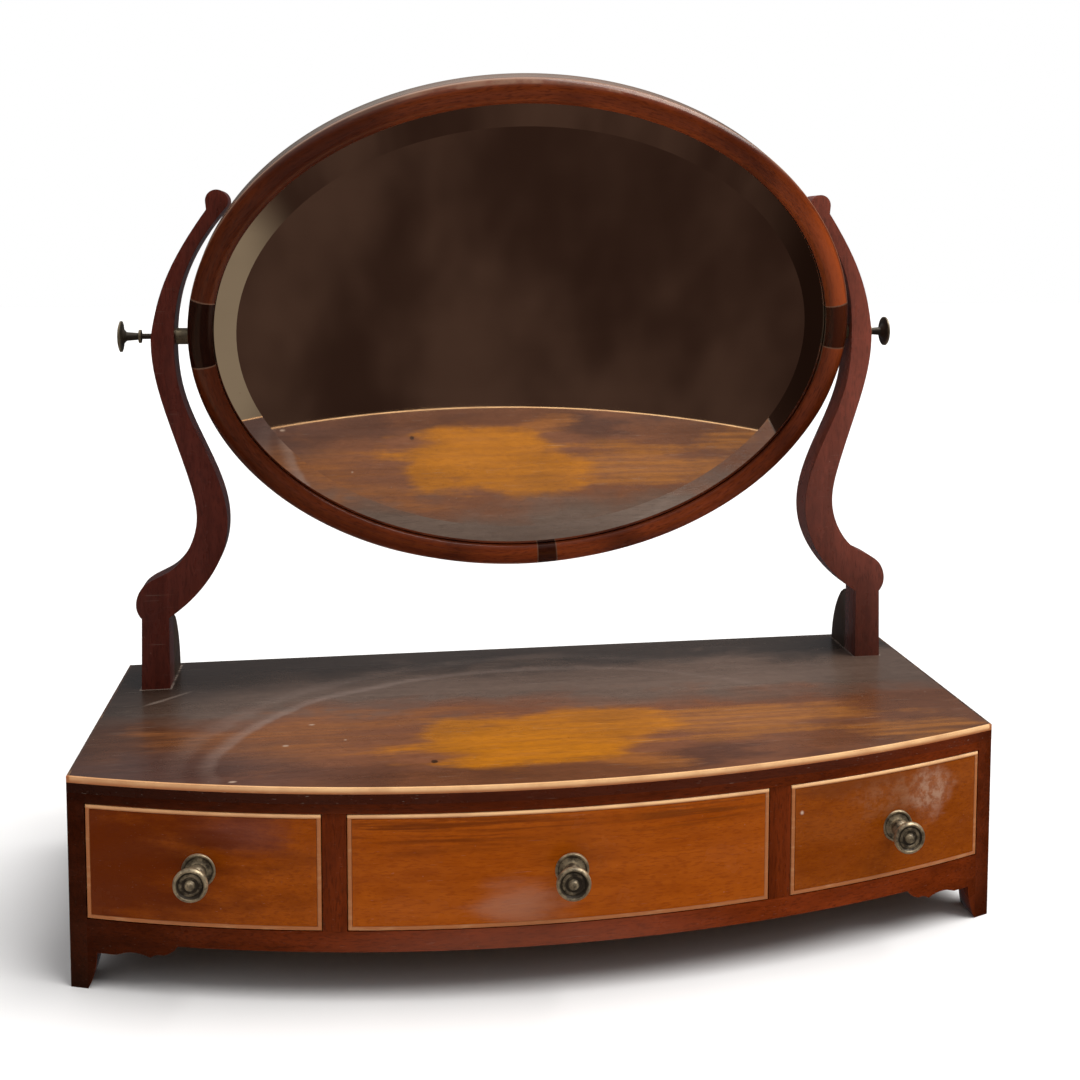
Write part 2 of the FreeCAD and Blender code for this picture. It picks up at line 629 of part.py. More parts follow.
def make_drawer(name, low, high):
    front_x = (f"{low} + fit_gap", f"{high} - fit_gap")
    front_z = ("floor_height + fit_gap", f"{BAY_TOP} - fit_gap")
    blank = block(f"{name}_front_blank", front_x, CASE_Y, front_z)
    panel = cut(f"{name}_front_panel", common(f"{name}_front_bowed", blank, BOW), INSIDE_FRONTS)
    edge = "fit_gap + inlay_width"
    field = block(f"{name}_field", (f"{low} + {edge}", f"{high} - ({edge})"), CASE_Y,
                  (f"floor_height + {edge}", f"{BAY_TOP} - ({edge})"))
    band = cut(f"{name}_band", blank, field)
    line = cut(f"{name}_line", common(f"{name}_line_bowed", band, BOW), UNDER_INLAY)
    knob_x = KNOBS[name][0]
    bed = knob_piece(f"{name}_rose_bed", name, rose_bed_path())
    bore = knob_piece(f"{name}_stud_bore", name, stud_path())
    finish(cut(f"{name}_front", panel, line, bed, bore), f"{name}_drawer_front")
    finish(group(f"{name}_line_whole", [line]), f"{name}_drawer_stringing")
    make_drawer_box(name, low, high)
    for part, path in (("rose", rose_path()), ("knob", knob_path()), ("knob_bolt", stud_path())):
        piece = knob_piece(f"{name}_{part}", name, path)
        piece.Label = f"{name}_drawer_{part}"
        bind(piece, {"Placement.Base.y": f"{bow_at(knob_x)} + {ORIGIN_SHIFT}"})
        finished.append(piece)


def make_drawer_box(name, low, high):
    inner_low = f"({low} + run_gap + fit_gap)"
    inner_high = f"({high} - run_gap - fit_gap)"
    bottom = "(floor_height + run_gap)"
    back = f"({BACK_INNER} - drawer_back_gap)"
    side_z = (bottom, f"{BAY_TOP} - drawer_side_drop")
    for side, x in (("left", (inner_low, f"{inner_low} + drawer_side_thick")),
                    ("right", (f"{inner_high} - drawer_side_thick", inner_high))):
        blank = block(f"{name}_{side}_side_blank", x, ("-bow_rise", back), side_z)
        finish(common(f"{name}_{side}_side", blank, INSIDE_FRONTS), f"{name}_drawer_side_{side}")
    between = (f"{inner_low} + drawer_side_thick", f"{inner_high} - drawer_side_thick")
    floor_low = "(floor_height + drawer_floor_rise)"
    floor_top = f"({floor_low} + drawer_floor_thick)"
    floor = block(f"{name}_floor_blank", between, ("-bow_rise", back), (floor_low, floor_top))
    finish(common(f"{name}_floor", floor, INSIDE_FRONTS), f"{name}_drawer_bottom")
    finish(block(f"{name}_back", between, (f"{back} - drawer_back_thick", back),
                 (floor_top, f"{BAY_TOP} - drawer_back_drop")), f"{name}_drawer_back")


def knob_piece(piece, drawer, path):
    """A turned piece on a drawer's knob axis, which isn't quite square to the case."""
    knob_x, turn, height = KNOBS[drawer]
    thing = turned(piece, "V_Axis", path)
    bind(thing, {"Placement.Rotation.Yaw": f"({turn}) * 1deg", "Placement.Base.x": knob_x,
                 "Placement.Base.y": bow_at(knob_x), "Placement.Base.z": height})
    return thing


def rose_bed_path():
    return [("0", "rose_bed"), ("rose_radius", "rose_bed"), ("rose_radius", "-knob_reach"),
            ("0", "-knob_reach")]


def stud_path():
    """A stud from inside the knob through rose and drawer front, with a round nut inside."""
    inner = "(front_thick + rose_bed)"
    return [("0", "-knob_reach * 0.55"), ("stud_radius", "-knob_reach * 0.55"), ("stud_radius", inner),
            ("nut_radius", inner), ("nut_radius", f"{inner} + nut_thick * 0.5"),
            ("nut_radius * 0.6", f"{inner} + nut_thick", "-nut_thick * 0.9"), ("0", f"{inner} + nut_thick")]


def rose_path():
    """A dished plate with a rolled rim."""
    return [("stud_radius", "rose_bed"), ("rose_radius", "rose_bed"),
            ("rose_radius", "-rose_thick * 0.4"),
            ("rose_radius * 0.84", "-rose_thick * 0.5", "rose_radius * -0.084"),
            ("knob_radius * 0.5", "-rose_thick", "rose_radius * 0.6"),
            ("stud_radius", "-rose_thick")]


def ball_radius(start, end):
    """The radius of an arc between two points whose centre is on the turning axis."""
    (x1, y1), (x2, y2) = start, end
    middle = f"((({x2}) ^ 2 - ({x1}) ^ 2 + ({y2}) ^ 2 - ({y1}) ^ 2) / (2 * (({y2}) - ({y1}))))"
    return f"-sqrt(({x1}) ^ 2 + (({y1}) - {middle}) ^ 2)"


def knob_path():
    """A ball, a neck and a dished head with a ring and a centre boss."""
    ball_foot = ("knob_radius * 0.5", "-rose_thick")
    ball_end = ("knob_neck", "-knob_reach * 0.42")
    boss_foot = ("knob_radius * 0.33", "-knob_reach * 0.87")
    boss_tip = ("0", "-knob_reach")
    return [("stud_radius", "-rose_thick"), ball_foot,
            ball_end + (ball_radius(ball_foot, ball_end),),
            ("knob_radius * 0.9", "-knob_reach * 0.76", "knob_radius * 0.95"),
            ("knob_radius * 0.88", "-knob_reach * 0.94", "knob_radius * -0.22"),
            ("knob_radius * 0.76", "-knob_reach * 0.9", "knob_radius * -0.12"),
            ("knob_radius * 0.68", "-knob_reach * 0.86"),
            ("knob_radius * 0.46", "-knob_reach * 0.86", "knob_radius * -0.13"),
            boss_foot,
            boss_tip + (ball_radius(boss_foot, boss_tip),),
            ("0", "-knob_reach * 0.55"), ("stud_radius", "-knob_reach * 0.55")]


# ---------------------------------------------------------------- the mirror, drawn round its pivot

# Where the frame is jointed, in degrees round the oval from the right-hand end.
FRAME_JOINTS = [
    ("frame_block_right", -2, 6.2),
    ("frame_top", 6.2, 172.8),
    ("frame_block_left", 172.8, 184.6),
    ("frame_lower_left", 184.6, 274),
    ("frame_block_bottom", 274, 278.8),
    ("frame_lower_right", 278.8, 358),
]


def oval(name, grow, y, x="0", z="0"):
    """An ellipse in the plane of the mirror, larger than the sight edge all round."""
    thing = doc.addObject("Part::Ellipse", name)
    thing.Placement = FreeCAD.Placement(FreeCAD.Vector(), FreeCAD.Rotation(FreeCAD.Vector(1, 0, 0), 90))
    bind(thing, {"MajorRadius": f"{SIGHT_A} + ({grow})", "MinorRadius": f"{SIGHT_B} + ({grow})",
                 "Placement.Base.x": x, "Placement.Base.y": y, "Placement.Base.z": z})
    return thing


def oval_plate(name, sections):
    thing = doc.addObject("Part::Loft", name)
    thing.Sections = sections
    thing.Solid = True
    thing.Ruled = True
    return thing


def planed(name, piece, inset="0"):
    """A piece cut down to the oval that leaves the frame narrower at its lower right."""
    grow = f"frame_width + trim_room - ({inset})"
    ends = [oval(f"{name}_trim_{spot}", grow, y, "-trim_left", "trim_up")
            for spot, y in (("front", "-frame_width"), ("back", f"{MIRROR_BACK} + 1"))]
    return common(name, piece, oval_plate(name + "_trim", ends))


def make_frame():
    """The moulding is swept round the oval and sawn into the pieces it is jointed from."""
    sketch = doc.addObject("Sketcher::SketchObject", "moulding")
    outline(sketch, [
        (f"{SIGHT_A} + rabbet_width", "frame_back"), (f"{SIGHT_A} + rabbet_width", "-glass_front"),
        (SIGHT_A, "-glass_front"), (SIGHT_A, "-frame_lip"),
        (f"{SIGHT_A} + frame_width", "-frame_shoulder", "crown_radius"),
        (f"{SIGHT_A} + frame_width", "frame_back")])
    ring = doc.addObject("Part::Sweep", "frame_ring")
    ring.Sections = [sketch]
    ring.Spine = (oval("sight_edge", "0", "0"), [])
    ring.Solid = True
    ring = planed("frame_planed", ring)
    ring = cut("frame_bored", ring, *[boss_hole(side, sign) for side, sign in SIDES])
    reach = "case_width"
    for name, start, end in FRAME_JOINTS:
        sector = doc.addObject("Part::Cylinder", name + "_sector")
        upright = FreeCAD.Rotation(FreeCAD.Vector(1, 0, 0), 90)
        sector.Placement = FreeCAD.Placement(FreeCAD.Vector(),
                                             upright * FreeCAD.Rotation(FreeCAD.Vector(0, 0, 1), start))
        sector.Angle = end - start
        bind(sector, {"Radius": reach, "Height": reach, "Placement.Base.y": f"{reach} / 2"})
        finish_on_mirror(common(name + "_sawn", ring, sector), name)


def boss_hole(side, sign):
    edge = f"({SIGHT_A} + frame_width)"
    reach = span(sign, f"{edge} - boss_socket", f"{edge} + 1")
    return cross_rod(f"{side}_boss_hole", "boss_spigot", reach, "0", "0")


def make_bosses():
    """Brass bosses let into the frame, threaded for the thumb screws."""
    edge = f"({SIGHT_A} + frame_width)"
    for side, sign in SIDES:
        face = f"({PIVOT_INNER} - ({sign}) * mirror_offset - boss_gap)"
        path = [(f"({sign}) * ({edge} - boss_socket)", "thumb_shank + thumb_play"),
                (f"({sign}) * ({edge} - boss_socket)", "boss_spigot"),
                (f"({sign}) * {edge}", "boss_spigot"), (f"({sign}) * {edge}", "boss_radius"),
                (f"({sign}) * {face}", "boss_radius"), (f"({sign}) * {face}", "thumb_shank + thumb_play")]
        finish_on_mirror(turned(f"{side}_boss", "H_Axis", path), f"pivot_boss_{side}")


def make_glass():
    edge = "rabbet_width - glass_gap"
    back = "glass_thick - glass_front"
    flat = oval("glass_flat", "-bevel_width", "-glass_front")
    rim = oval("glass_rim", edge, "bevel_depth - glass_front")
    rear = oval("glass_rear", edge, back)
    finish_on_mirror(oval_plate("glass_plate", [flat, rim, rear]), "mirror_glass")
    grow = "frame_width - backboard_inset"
    board = oval_plate("back_oval", [oval("board_front", grow, "frame_back"),
                                     oval("board_back", grow, MIRROR_BACK)])
    board = planed("board_planed", board, "backboard_inset")
    holes = [oval_screw(f"board_hole_{number}", number) for number in range(BOARD_SCREWS)]
    finish_on_mirror(cut("backboard", board, *holes), "backboard")
    screws = [oval_screw(f"board_screw_{number}", number) for number in range(BOARD_SCREWS)]
    finish_on_mirror(group("backboard_screws", screws), "backboard_screws")
    wedges = [wedge(number) for number in range(WEDGES)]
    finish_on_mirror(group("glass_wedges", wedges), "glass_wedges")


BOARD_SCREWS = 8
WEDGES = 12


def oval_point(number, count, inset):
    """Expressions for a point spaced round the oval, some way in from the outside of the frame."""
    turn = f"{(number + 0.5) * 360 / count}deg"
    return (f"({SIGHT_A} + frame_width - ({inset})) * cos({turn})",
            f"({SIGHT_B} + frame_width - ({inset})) * sin({turn})", turn)


def oval_screw(name, number):
    """A small countersunk screw through the backboard into the frame."""
    x, z, turn = oval_point(number, BOARD_SCREWS, "(frame_width - rabbet_width) / 2 + backboard_inset / 2")
    shank = doc.addObject("Part::Cylinder", name + "_shank")
    head = doc.addObject("Part::Cone", name + "_head")
    forward = FreeCAD.Rotation(FreeCAD.Vector(1, 0, 0), 90)
    for thing in (shank, head):
        thing.Placement = FreeCAD.Placement(FreeCAD.Vector(), forward)
        bind(thing, {"Placement.Base.x": x, "Placement.Base.y": MIRROR_BACK, "Placement.Base.z": z})
    bind(shank, {"Radius": "screw_radius * 0.7", "Height": "backboard_thick"})
    bind(head, {"Radius1": "screw_head * 0.7", "Radius2": "screw_radius * 0.7",
                "Height": "(screw_head - screw_radius) * 0.7"})
    return fuse(name, shank, head)


def wedge(number):
    """A small softwood block that holds the glass in its rabbet."""
    x, z, turn = oval_point(number, WEDGES, "frame_width - rabbet_width + glass_gap + rabbet_width / 2")
    slope = f"atan2(({SIGHT_B}) * cos({turn}); -({SIGHT_A}) * sin({turn}))"
    thick = "(rabbet_width * 0.6)"
    thing = doc.addObject("Part::Box", f"wedge_{number}")
    thing.Placement = FreeCAD.Placement(FreeCAD.Vector(), FreeCAD.Rotation(FreeCAD.Vector(0, -1, 0), 90))
    bind(thing, {
        "Length": "wedge_length", "Width": "glass_front", "Height": thick,
        "Placement.Rotation.Angle": slope,
        "Placement.Base.x": f"{x} - cos({slope}) * wedge_length / 2 + sin({slope}) * {thick} / 2",
        "Placement.Base.y": "glass_thick - glass_front",
        "Placement.Base.z": f"{z} - sin({slope}) * wedge_length / 2 - cos({slope}) * {thick} / 2"})
    return thing


# ---------------------------------------------------------------- the thumb screws

def make_thumb_screws():
    """Turned brass screws that pass through the posts into the bosses and clamp the mirror."""
    nose = f"({PIVOT_INNER} + {NOSE_WIDTH})"
    for side, sign in SIDES:
        inner = f"({SIGHT_A} + frame_width - boss_socket + 1)"
        collar = f"({nose} - ({sign}) * mirror_offset + {side}_backed_out)"
        stem = f"({collar} + thumb_collar_thick)"
        disc = f"({stem} + {side}_stem_length)"
        flat = f"({disc} + thumb_disc_thick)"
        stations = [
            (inner, "0"), (inner, "thumb_shank"), (collar, "thumb_shank"),
            (f"{collar} + thumb_collar_thick * 0.2", "thumb_collar"),
            (f"{collar} + thumb_collar_thick * 0.8", "thumb_collar"),
            (stem, "thumb_stem * 0.8"), (f"{disc} - thumb_disc_thick", "thumb_stem"),
            (disc, "thumb_disc * 0.55"), (f"{disc} + thumb_disc_thick * 0.3", "thumb_disc"),
            (f"{flat} - thumb_disc_thick * 0.3", "thumb_disc"), (flat, "thumb_disc * 0.8"), (flat, "0")]
        path = [(f"({sign}) * ({along})", radius) for along, radius in stations]
        finish_on_mirror(turned(f"{side}_thumb", "H_Axis", path), f"thumb_screw_{side}")


# ---------------------------------------------------------------- build, check and write

make_top()
make_apron()
make_sides()
make_carcase_boards()
make_blocks()
make_stops()
make_posts()
INSIDE_FRONTS = bow_drum("bow_inside_fronts", "front_thick")
UNDER_INLAY = bow_drum("bow_under_inlay", "inlay_depth")
for drawer in DRAWERS:
    make_drawer(*drawer)
make_frame()
make_bosses()
make_glass()
make_thumb_screws()
doc.recompute()

for thing in doc.Objects:
    if "Invalid" in thing.State or "Error" in thing.State:
        raise RuntimeError(f"{thing.Name} did not build: {thing.State}")

for thing in finished:
    shape = thing.Shape
    if shape.isNull() or not shape.isValid() or not shape.Solids:
        raise RuntimeError(f"{thing.Label} has no sound solid")
    shape.exportStep(f"parts/{thing.Label}.step")

print(len(finished), "pieces written")
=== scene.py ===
"""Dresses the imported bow-fronted toilet mirror: softened boards, swept frame, aged brass, old polish."""

import json
import math

import bmesh
import bpy
from mathutils import Matrix, Vector


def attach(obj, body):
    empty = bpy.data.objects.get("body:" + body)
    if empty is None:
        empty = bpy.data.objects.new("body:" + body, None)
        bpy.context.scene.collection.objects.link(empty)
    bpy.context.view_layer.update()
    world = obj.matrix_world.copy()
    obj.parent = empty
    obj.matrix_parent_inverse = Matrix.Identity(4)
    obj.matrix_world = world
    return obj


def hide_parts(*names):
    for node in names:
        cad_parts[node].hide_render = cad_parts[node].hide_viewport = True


bl_info = {
    "name": "Bow-Fronted Toilet Mirror",
    "version": (1, 0, 0),
    "blender": (4, 5, 0),
    "location": "3D View > Sidebar > Toilet Mirror",
    "description": "Dresses an oval toilet mirror on a box of three drawers",
    "category": "Object",
}

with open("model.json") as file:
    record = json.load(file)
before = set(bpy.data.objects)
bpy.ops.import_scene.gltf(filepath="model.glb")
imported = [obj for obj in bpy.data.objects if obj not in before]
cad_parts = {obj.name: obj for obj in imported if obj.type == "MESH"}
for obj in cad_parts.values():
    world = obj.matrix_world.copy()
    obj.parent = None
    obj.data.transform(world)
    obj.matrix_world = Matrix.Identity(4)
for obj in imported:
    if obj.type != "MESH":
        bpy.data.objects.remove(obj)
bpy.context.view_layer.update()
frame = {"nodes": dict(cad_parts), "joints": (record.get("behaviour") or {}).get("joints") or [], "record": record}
NODES = frame["nodes"]
PIVOT = Vector(next(j["pos_m"] for j in frame["joints"] if j["name"] == "mirror_tilt"))
DRAWERS = ("left", "centre", "right")
SIDES = (("left", -1), ("right", 1))


# ---------------------------------------------------------------- settings in the panel

class ShapeSettings(bpy.types.PropertyGroup):
    """Sizes that the makers work to."""
    arris: bpy.props.FloatProperty(
        name="Worn edge", description="Roundness of the carcase edges",
        default=0.0007, min=0.0001, max=0.003, subtype="DISTANCE", unit="LENGTH")
    post_arris: bpy.props.FloatProperty(
        name="Post edge", description="Roundness of the edges of the posts",
        default=0.0013, min=0.0001, max=0.004, subtype="DISTANCE", unit="LENGTH")
    tilt: bpy.props.FloatProperty(
        name="Mirror tilt", description="Lean of the mirror at rest",
        default=math.radians(17.2), subtype="ANGLE", unit="ROTATION")
    offset: bpy.props.FloatProperty(
        name="Mirror offset", description="Centre of the oval to the right of the middle",
        default=0.0027, subtype="DISTANCE", unit="LENGTH")
    sight_width: bpy.props.FloatProperty(
        name="Sight width", description="Width of the glass that shows in the frame",
        default=0.46, subtype="DISTANCE", unit="LENGTH")
    sight_height: bpy.props.FloatProperty(
        name="Sight height", description="Height of the glass that shows in the frame",
        default=0.353, subtype="DISTANCE", unit="LENGTH")
    face_width: bpy.props.FloatProperty(
        name="Frame width", description="Width of the frame moulding",
        default=0.0175, subtype="DISTANCE", unit="LENGTH")
    lip: bpy.props.FloatProperty(
        name="Sight lip", description="Rounding of the moulding beside the glass",
        default=0.0009, subtype="DISTANCE", unit="LENGTH")
    shoulder: bpy.props.FloatProperty(
        name="Outer shoulder", description="Rounding of the outer edge of the moulding",
        default=0.0016, subtype="DISTANCE", unit="LENGTH")
    sweep_step: bpy.props.FloatProperty(
        name="Sweep step", description="Spacing of the sections along the oval",
        default=0.003, min=0.001, subtype="DISTANCE", unit="LENGTH")


class WoodSettings(bpy.types.PropertyGroup):
    """Colours of the woods."""
    top_front: bpy.props.FloatVectorProperty(
        name="Top, front", description="Warm brown near the front of the top", subtype="COLOR",
        default=(0.21, 0.078, 0.034))
    top_middle: bpy.props.FloatVectorProperty(
        name="Top, middle", description="Hazed brown across the middle of the top", subtype="COLOR",
        default=(0.165, 0.108, 0.08))
    top_back: bpy.props.FloatVectorProperty(
        name="Top, back", description="Dark polish at the back of the top", subtype="COLOR",
        default=(0.05, 0.035, 0.027))
    top_faded: bpy.props.FloatVectorProperty(
        name="Top, faded", description="Pale patch near the middle of the front", subtype="COLOR",
        default=(0.49, 0.168, 0.006))
    carcase_dark: bpy.props.FloatVectorProperty(
        name="Carcase, dark", description="Dark figure of the carcase", subtype="COLOR",
        default=(0.1, 0.014, 0.0012))
    carcase_light: bpy.props.FloatVectorProperty(
        name="Carcase, light", description="Light figure of the carcase", subtype="COLOR",
        default=(0.33, 0.048, 0.004))
    front_dark: bpy.props.FloatVectorProperty(
        name="Drawer front, dark", description="Dark streaks of the drawer fronts", subtype="COLOR",
        default=(0.24, 0.042, 0.001))
    front_light: bpy.props.FloatVectorProperty(
        name="Drawer front, light", description="Light figure of the drawer fronts", subtype="COLOR",
        default=(0.43, 0.095, 0.003))
    post_dark: bpy.props.FloatVectorProperty(
        name="Post, dark", description="Dark figure of the posts", subtype="COLOR",
        default=(0.04, 0.007, 0.0045))
    post_light: bpy.props.FloatVectorProperty(
        name="Post, light", description="Light figure of the posts", subtype="COLOR",
        default=(0.115, 0.021, 0.012))
    frame_dark: bpy.props.FloatVectorProperty(
        name="Frame, dark", description="Dark figure of the oval frame", subtype="COLOR",
        default=(0.055, 0.009, 0.003))
    frame_light: bpy.props.FloatVectorProperty(
        name="Frame, light", description="Light figure of the oval frame", subtype="COLOR",
        default=(0.28, 0.05, 0.008))
    boxwood: bpy.props.FloatVectorProperty(
        name="Boxwood", description="Inlaid line where it is clean", subtype="COLOR",
        default=(0.92, 0.55, 0.26))
    boxwood_soiled: bpy.props.FloatVectorProperty(
        name="Boxwood, soiled", description="Inlaid line where the polish darkened it", subtype="COLOR",
        default=(0.38, 0.125, 0.035))
    pine: bpy.props.FloatVectorProperty(
        name="Pine", description="Bare wood inside and behind", subtype="COLOR",
        default=(0.42, 0.25, 0.12))


class MetalSettings(bpy.types.PropertyGroup):
    """Colours of the metal and the glass."""
    brass_dark: bpy.props.FloatVectorProperty(
        name="Brass, tarnished", description="Brass in the hollows", subtype="COLOR",
        default=(0.042, 0.03, 0.018))
    brass_bright: bpy.props.FloatVectorProperty(
        name="Brass, rubbed", description="Brass on the rims", subtype="COLOR",
        default=(0.92, 0.73, 0.46))
    steel: bpy.props.FloatVectorProperty(
        name="Screw steel", description="Dull steel of the screws", subtype="COLOR",
        default=(0.3, 0.29, 0.28))
    silver: bpy.props.FloatVectorProperty(
        name="Silvering", description="Tint of the mirror plate", subtype="COLOR",
        default=(0.86, 0.86, 0.84))


class StageSettings(bpy.types.PropertyGroup):
    """Camera, floor and light."""
    camera_place: bpy.props.FloatVectorProperty(
        name="Camera place", description="Where the camera stands", subtype="TRANSLATION", unit="LENGTH",
        default=(-0.112889, -0.902375, 0.456135))
    camera_yaw: bpy.props.FloatProperty(
        name="Camera turn", description="Turn of the camera to the right",
        default=0.1548, subtype="ANGLE", unit="ROTATION")
    camera_pitch: bpy.props.FloatProperty(
        name="Camera pitch", description="Rise of the camera's axis",
        default=-0.0712, subtype="ANGLE", unit="ROTATION")
    camera_roll: bpy.props.FloatProperty(
        name="Camera roll", description="Roll of the camera about its axis",
        default=0.003, subtype="ANGLE", unit="ROTATION")
    lens: bpy.props.FloatProperty(
        name="Lens", description="Focal length on a 36 mm sensor",
        default=43.97, unit="CAMERA")
    floor: bpy.props.FloatVectorProperty(
        name="Floor", description="Pale floor", subtype="COLOR", default=(0.86, 0.86, 0.86))
    key_power: bpy.props.FloatProperty(
        name="Key light", description="Strength of the soft light", default=3.5)
    key_softness: bpy.props.FloatProperty(
        name="Key softness", description="How wide the soft light is",
        default=math.radians(50), subtype="ANGLE", unit="ROTATION")
    key_from: bpy.props.FloatVectorProperty(
        name="Key side", description="Direction that the light comes from", subtype="XYZ",
        default=(0.5, -0.12, 0.85))


def scaled(colour, share):
    """A colour made darker or paler as a whole."""
    return [share * part for part in colour]


def between(low, high, share):
    """A colour on the way from one to another."""
    return [(1 - share) * a + share * b for a, b in zip(low, high)]


# ---------------------------------------------------------------- node trees

class Net:
    """Adds nodes to a tree, with their links and values in the same call."""

    def __init__(self, tree):
        self.tree = tree

    def add(self, kind, inputs=(), **settings):
        made = self.tree.nodes.new(kind)
        for name, value in settings.items():
            setattr(made, name, value)
        for key, value in dict(inputs).items():
            self.feed(made.inputs[key], value)
        return made

    def feed(self, socket, value):
        if isinstance(value, bpy.types.NodeSocket):
            self.tree.links.new(value, socket)
        elif socket.type == "RGBA" and len(value) == 3:
            socket.default_value = (*value, 1)
        else:
            socket.default_value = value

    def math(self, operation, a, b=0.0, c=0.0, clamp=False):
        made = self.add("ShaderNodeMath", {0: a, 1: b, 2: c}, operation=operation, use_clamp=clamp)
        return made.outputs[0]

    def times(self, a, b, clamp=False):
        return self.math("MULTIPLY", a, b, clamp=clamp)

    def plus(self, a, b, clamp=False):
        return self.math("ADD", a, b, clamp=clamp)

    def less(self, a, b):
        return self.math("SUBTRACT", a, b)

    def larger(self, a, b):
        return self.math("MAXIMUM", a, b)

    def size_of(self, a):
        return self.math("ABSOLUTE", a)

    def split(self, vector):
        """The X, Y and Z of a vector."""
        return self.add("ShaderNodeSeparateXYZ", {0: vector}).outputs

    def attribute(self, name):
        return self.add("ShaderNodeAttribute", attribute_name=name).outputs["Fac"]

    def mix(self, factor, a, b, blend="MIX"):
        made = self.add("ShaderNodeMix", data_type="RGBA", blend_type=blend)
        self.feed(made.inputs[0], factor)
        self.feed(made.inputs[6], a)
        self.feed(made.inputs[7], b)
        return made.outputs[2]

    def shade(self, colour, by):
        """A colour darkened by another colour or by a grey value."""
        return self.mix(1.0, colour, by, "MULTIPLY")

    def ramp(self, value, *stops):
        """A colour or grey ramp; each stop is (place, colour or grey)."""
        made = self.add("ShaderNodeValToRGB", {0: value})
        line = made.color_ramp
        while len(line.elements) < len(stops):
            line.elements.new(0.5)
        for element, (place, shade) in zip(line.elements, stops):
            element.position = place
            element.color = (*shade, 1) if hasattr(shade, "__len__") else (shade, shade, shade, 1)
        return made.outputs[0]

    def span(self, value, low, high, to_low=0.0, to_high=1.0):
        """Maps low..high to to_low..to_high, with soft ends and held outside."""
        made = self.add("ShaderNodeMapRange", {0: value, 1: low, 2: high, 3: to_low, 4: to_high},
                        interpolation_type="SMOOTHSTEP")
        return made.outputs[0]

    def span_line(self, value, low, high):
        """Maps low..high to 0..1 evenly."""
        return self.add("ShaderNodeMapRange", {0: value, 1: low, 2: high}).outputs[0]

    def noise(self, vector, scale=1.0, detail=4.0, roughness=0.55, distortion=0.0):
        made = self.add("ShaderNodeTexNoise", {"Vector": vector, "Scale": scale, "Detail": detail,
                                               "Roughness": roughness, "Distortion": distortion})
        return made.outputs[0]

    def place(self, vector, scale=(1, 1, 1), shift=(0, 0, 0), turn=(0, 0, 0)):
        made = self.add("ShaderNodeMapping", {"Vector": vector, "Scale": scale, "Location": shift,
                                              "Rotation": turn})
        return made.outputs[0]

    def blot(self, across, up, centre, radii, strength=1.0, ragged=0.0, edge=(0.7, 1.2)):
        """A soft oval spot, whose edge a ragged value may push in and out."""
        x = self.math("DIVIDE", self.less(across, centre[0]), radii[0])
        y = self.math("DIVIDE", self.less(up, centre[1]), radii[1])
        square = self.math("MULTIPLY_ADD", x, x, self.times(y, y))
        far = self.plus(self.math("SQRT", square), ragged)
        return self.span(far, edge[0], edge[1], strength, 0.0)

    def wire(self, node, **inputs):
        """Feeds a node's inputs by name, with _ for a space."""
        for name, value in inputs.items():
            self.feed(node.inputs[name.replace("_", " ")], value)

    def group(self, tree, **inputs):
        made = self.add("ShaderNodeGroup", node_tree=tree)
        self.wire(made, **inputs)
        return made


def shader_group(name, inputs, outputs):
    """An empty shader group: its net, its input sockets by name, and its output node."""
    tree = bpy.data.node_groups.new(name, "ShaderNodeTree")
    for title, kind in inputs.items():
        tree.interface.new_socket(title, in_out="INPUT", socket_type="NodeSocket" + kind)
    for title, kind in outputs.items():
        tree.interface.new_socket(title, in_out="OUTPUT", socket_type="NodeSocket" + kind)
    net = Net(tree)
    given = net.add("NodeGroupInput").outputs
    return net, given, net.add("NodeGroupOutput")


def grain_group():
    """Long figure, fine streaks and pores of mahogany; the grain runs along the vector's X."""
    name = "Mahogany Grain"
    if name in bpy.data.node_groups:
        return bpy.data.node_groups[name]
    net, given, out = shader_group(
        name, {"Vector": "Vector", "Dark": "Color", "Light": "Color", "Contrast": "Float"},
        {"Colour": "Color", "Figure": "Float", "Height": "Float"})
    vector = given["Vector"]
    wander = net.noise(net.place(vector, (4, 4, 4)), 1.0, 2.0)
    sway = net.add("ShaderNodeCombineXYZ", {1: net.span(wander, 0.3, 0.7, -0.004, 0.004)}).outputs[0]
    bent = net.add("ShaderNodeVectorMath", {0: vector, 1: sway}, operation="ADD").outputs[0]
    figure = net.noise(net.place(bent, (5, 34, 34)), 1.0, 3.0, 0.5, 0.3)
    streak = net.noise(net.place(bent, (9, 190, 190)), 1.0, 5.0, 0.62)
    mottle = net.noise(net.place(bent, (80, 150, 150)), 1.0, 4.0, 0.65)
    pore = net.noise(net.place(bent, (150, 950, 950)), 1.0, 2.0, 0.5)
    both = net.plus(net.times(figure, 0.42), net.times(streak, 0.34))
    both = net.math("MULTIPLY_ADD", mottle, 0.24, both)
    spread = net.math("MULTIPLY_ADD", net.less(both, 0.5), given["Contrast"], 0.5)
    pores = net.span(pore, 0.5, 0.66)
    colour = net.mix(net.span(spread, 0.0, 1.0), given["Dark"], given["Light"])
    colour = net.mix(net.times(pores, 0.55), colour, given["Dark"])
    height = net.less(net.times(streak, 0.25), net.times(pores, 0.6))
    net.wire(out, Colour=colour, Figure=figure, Height=height)
    return net.tree


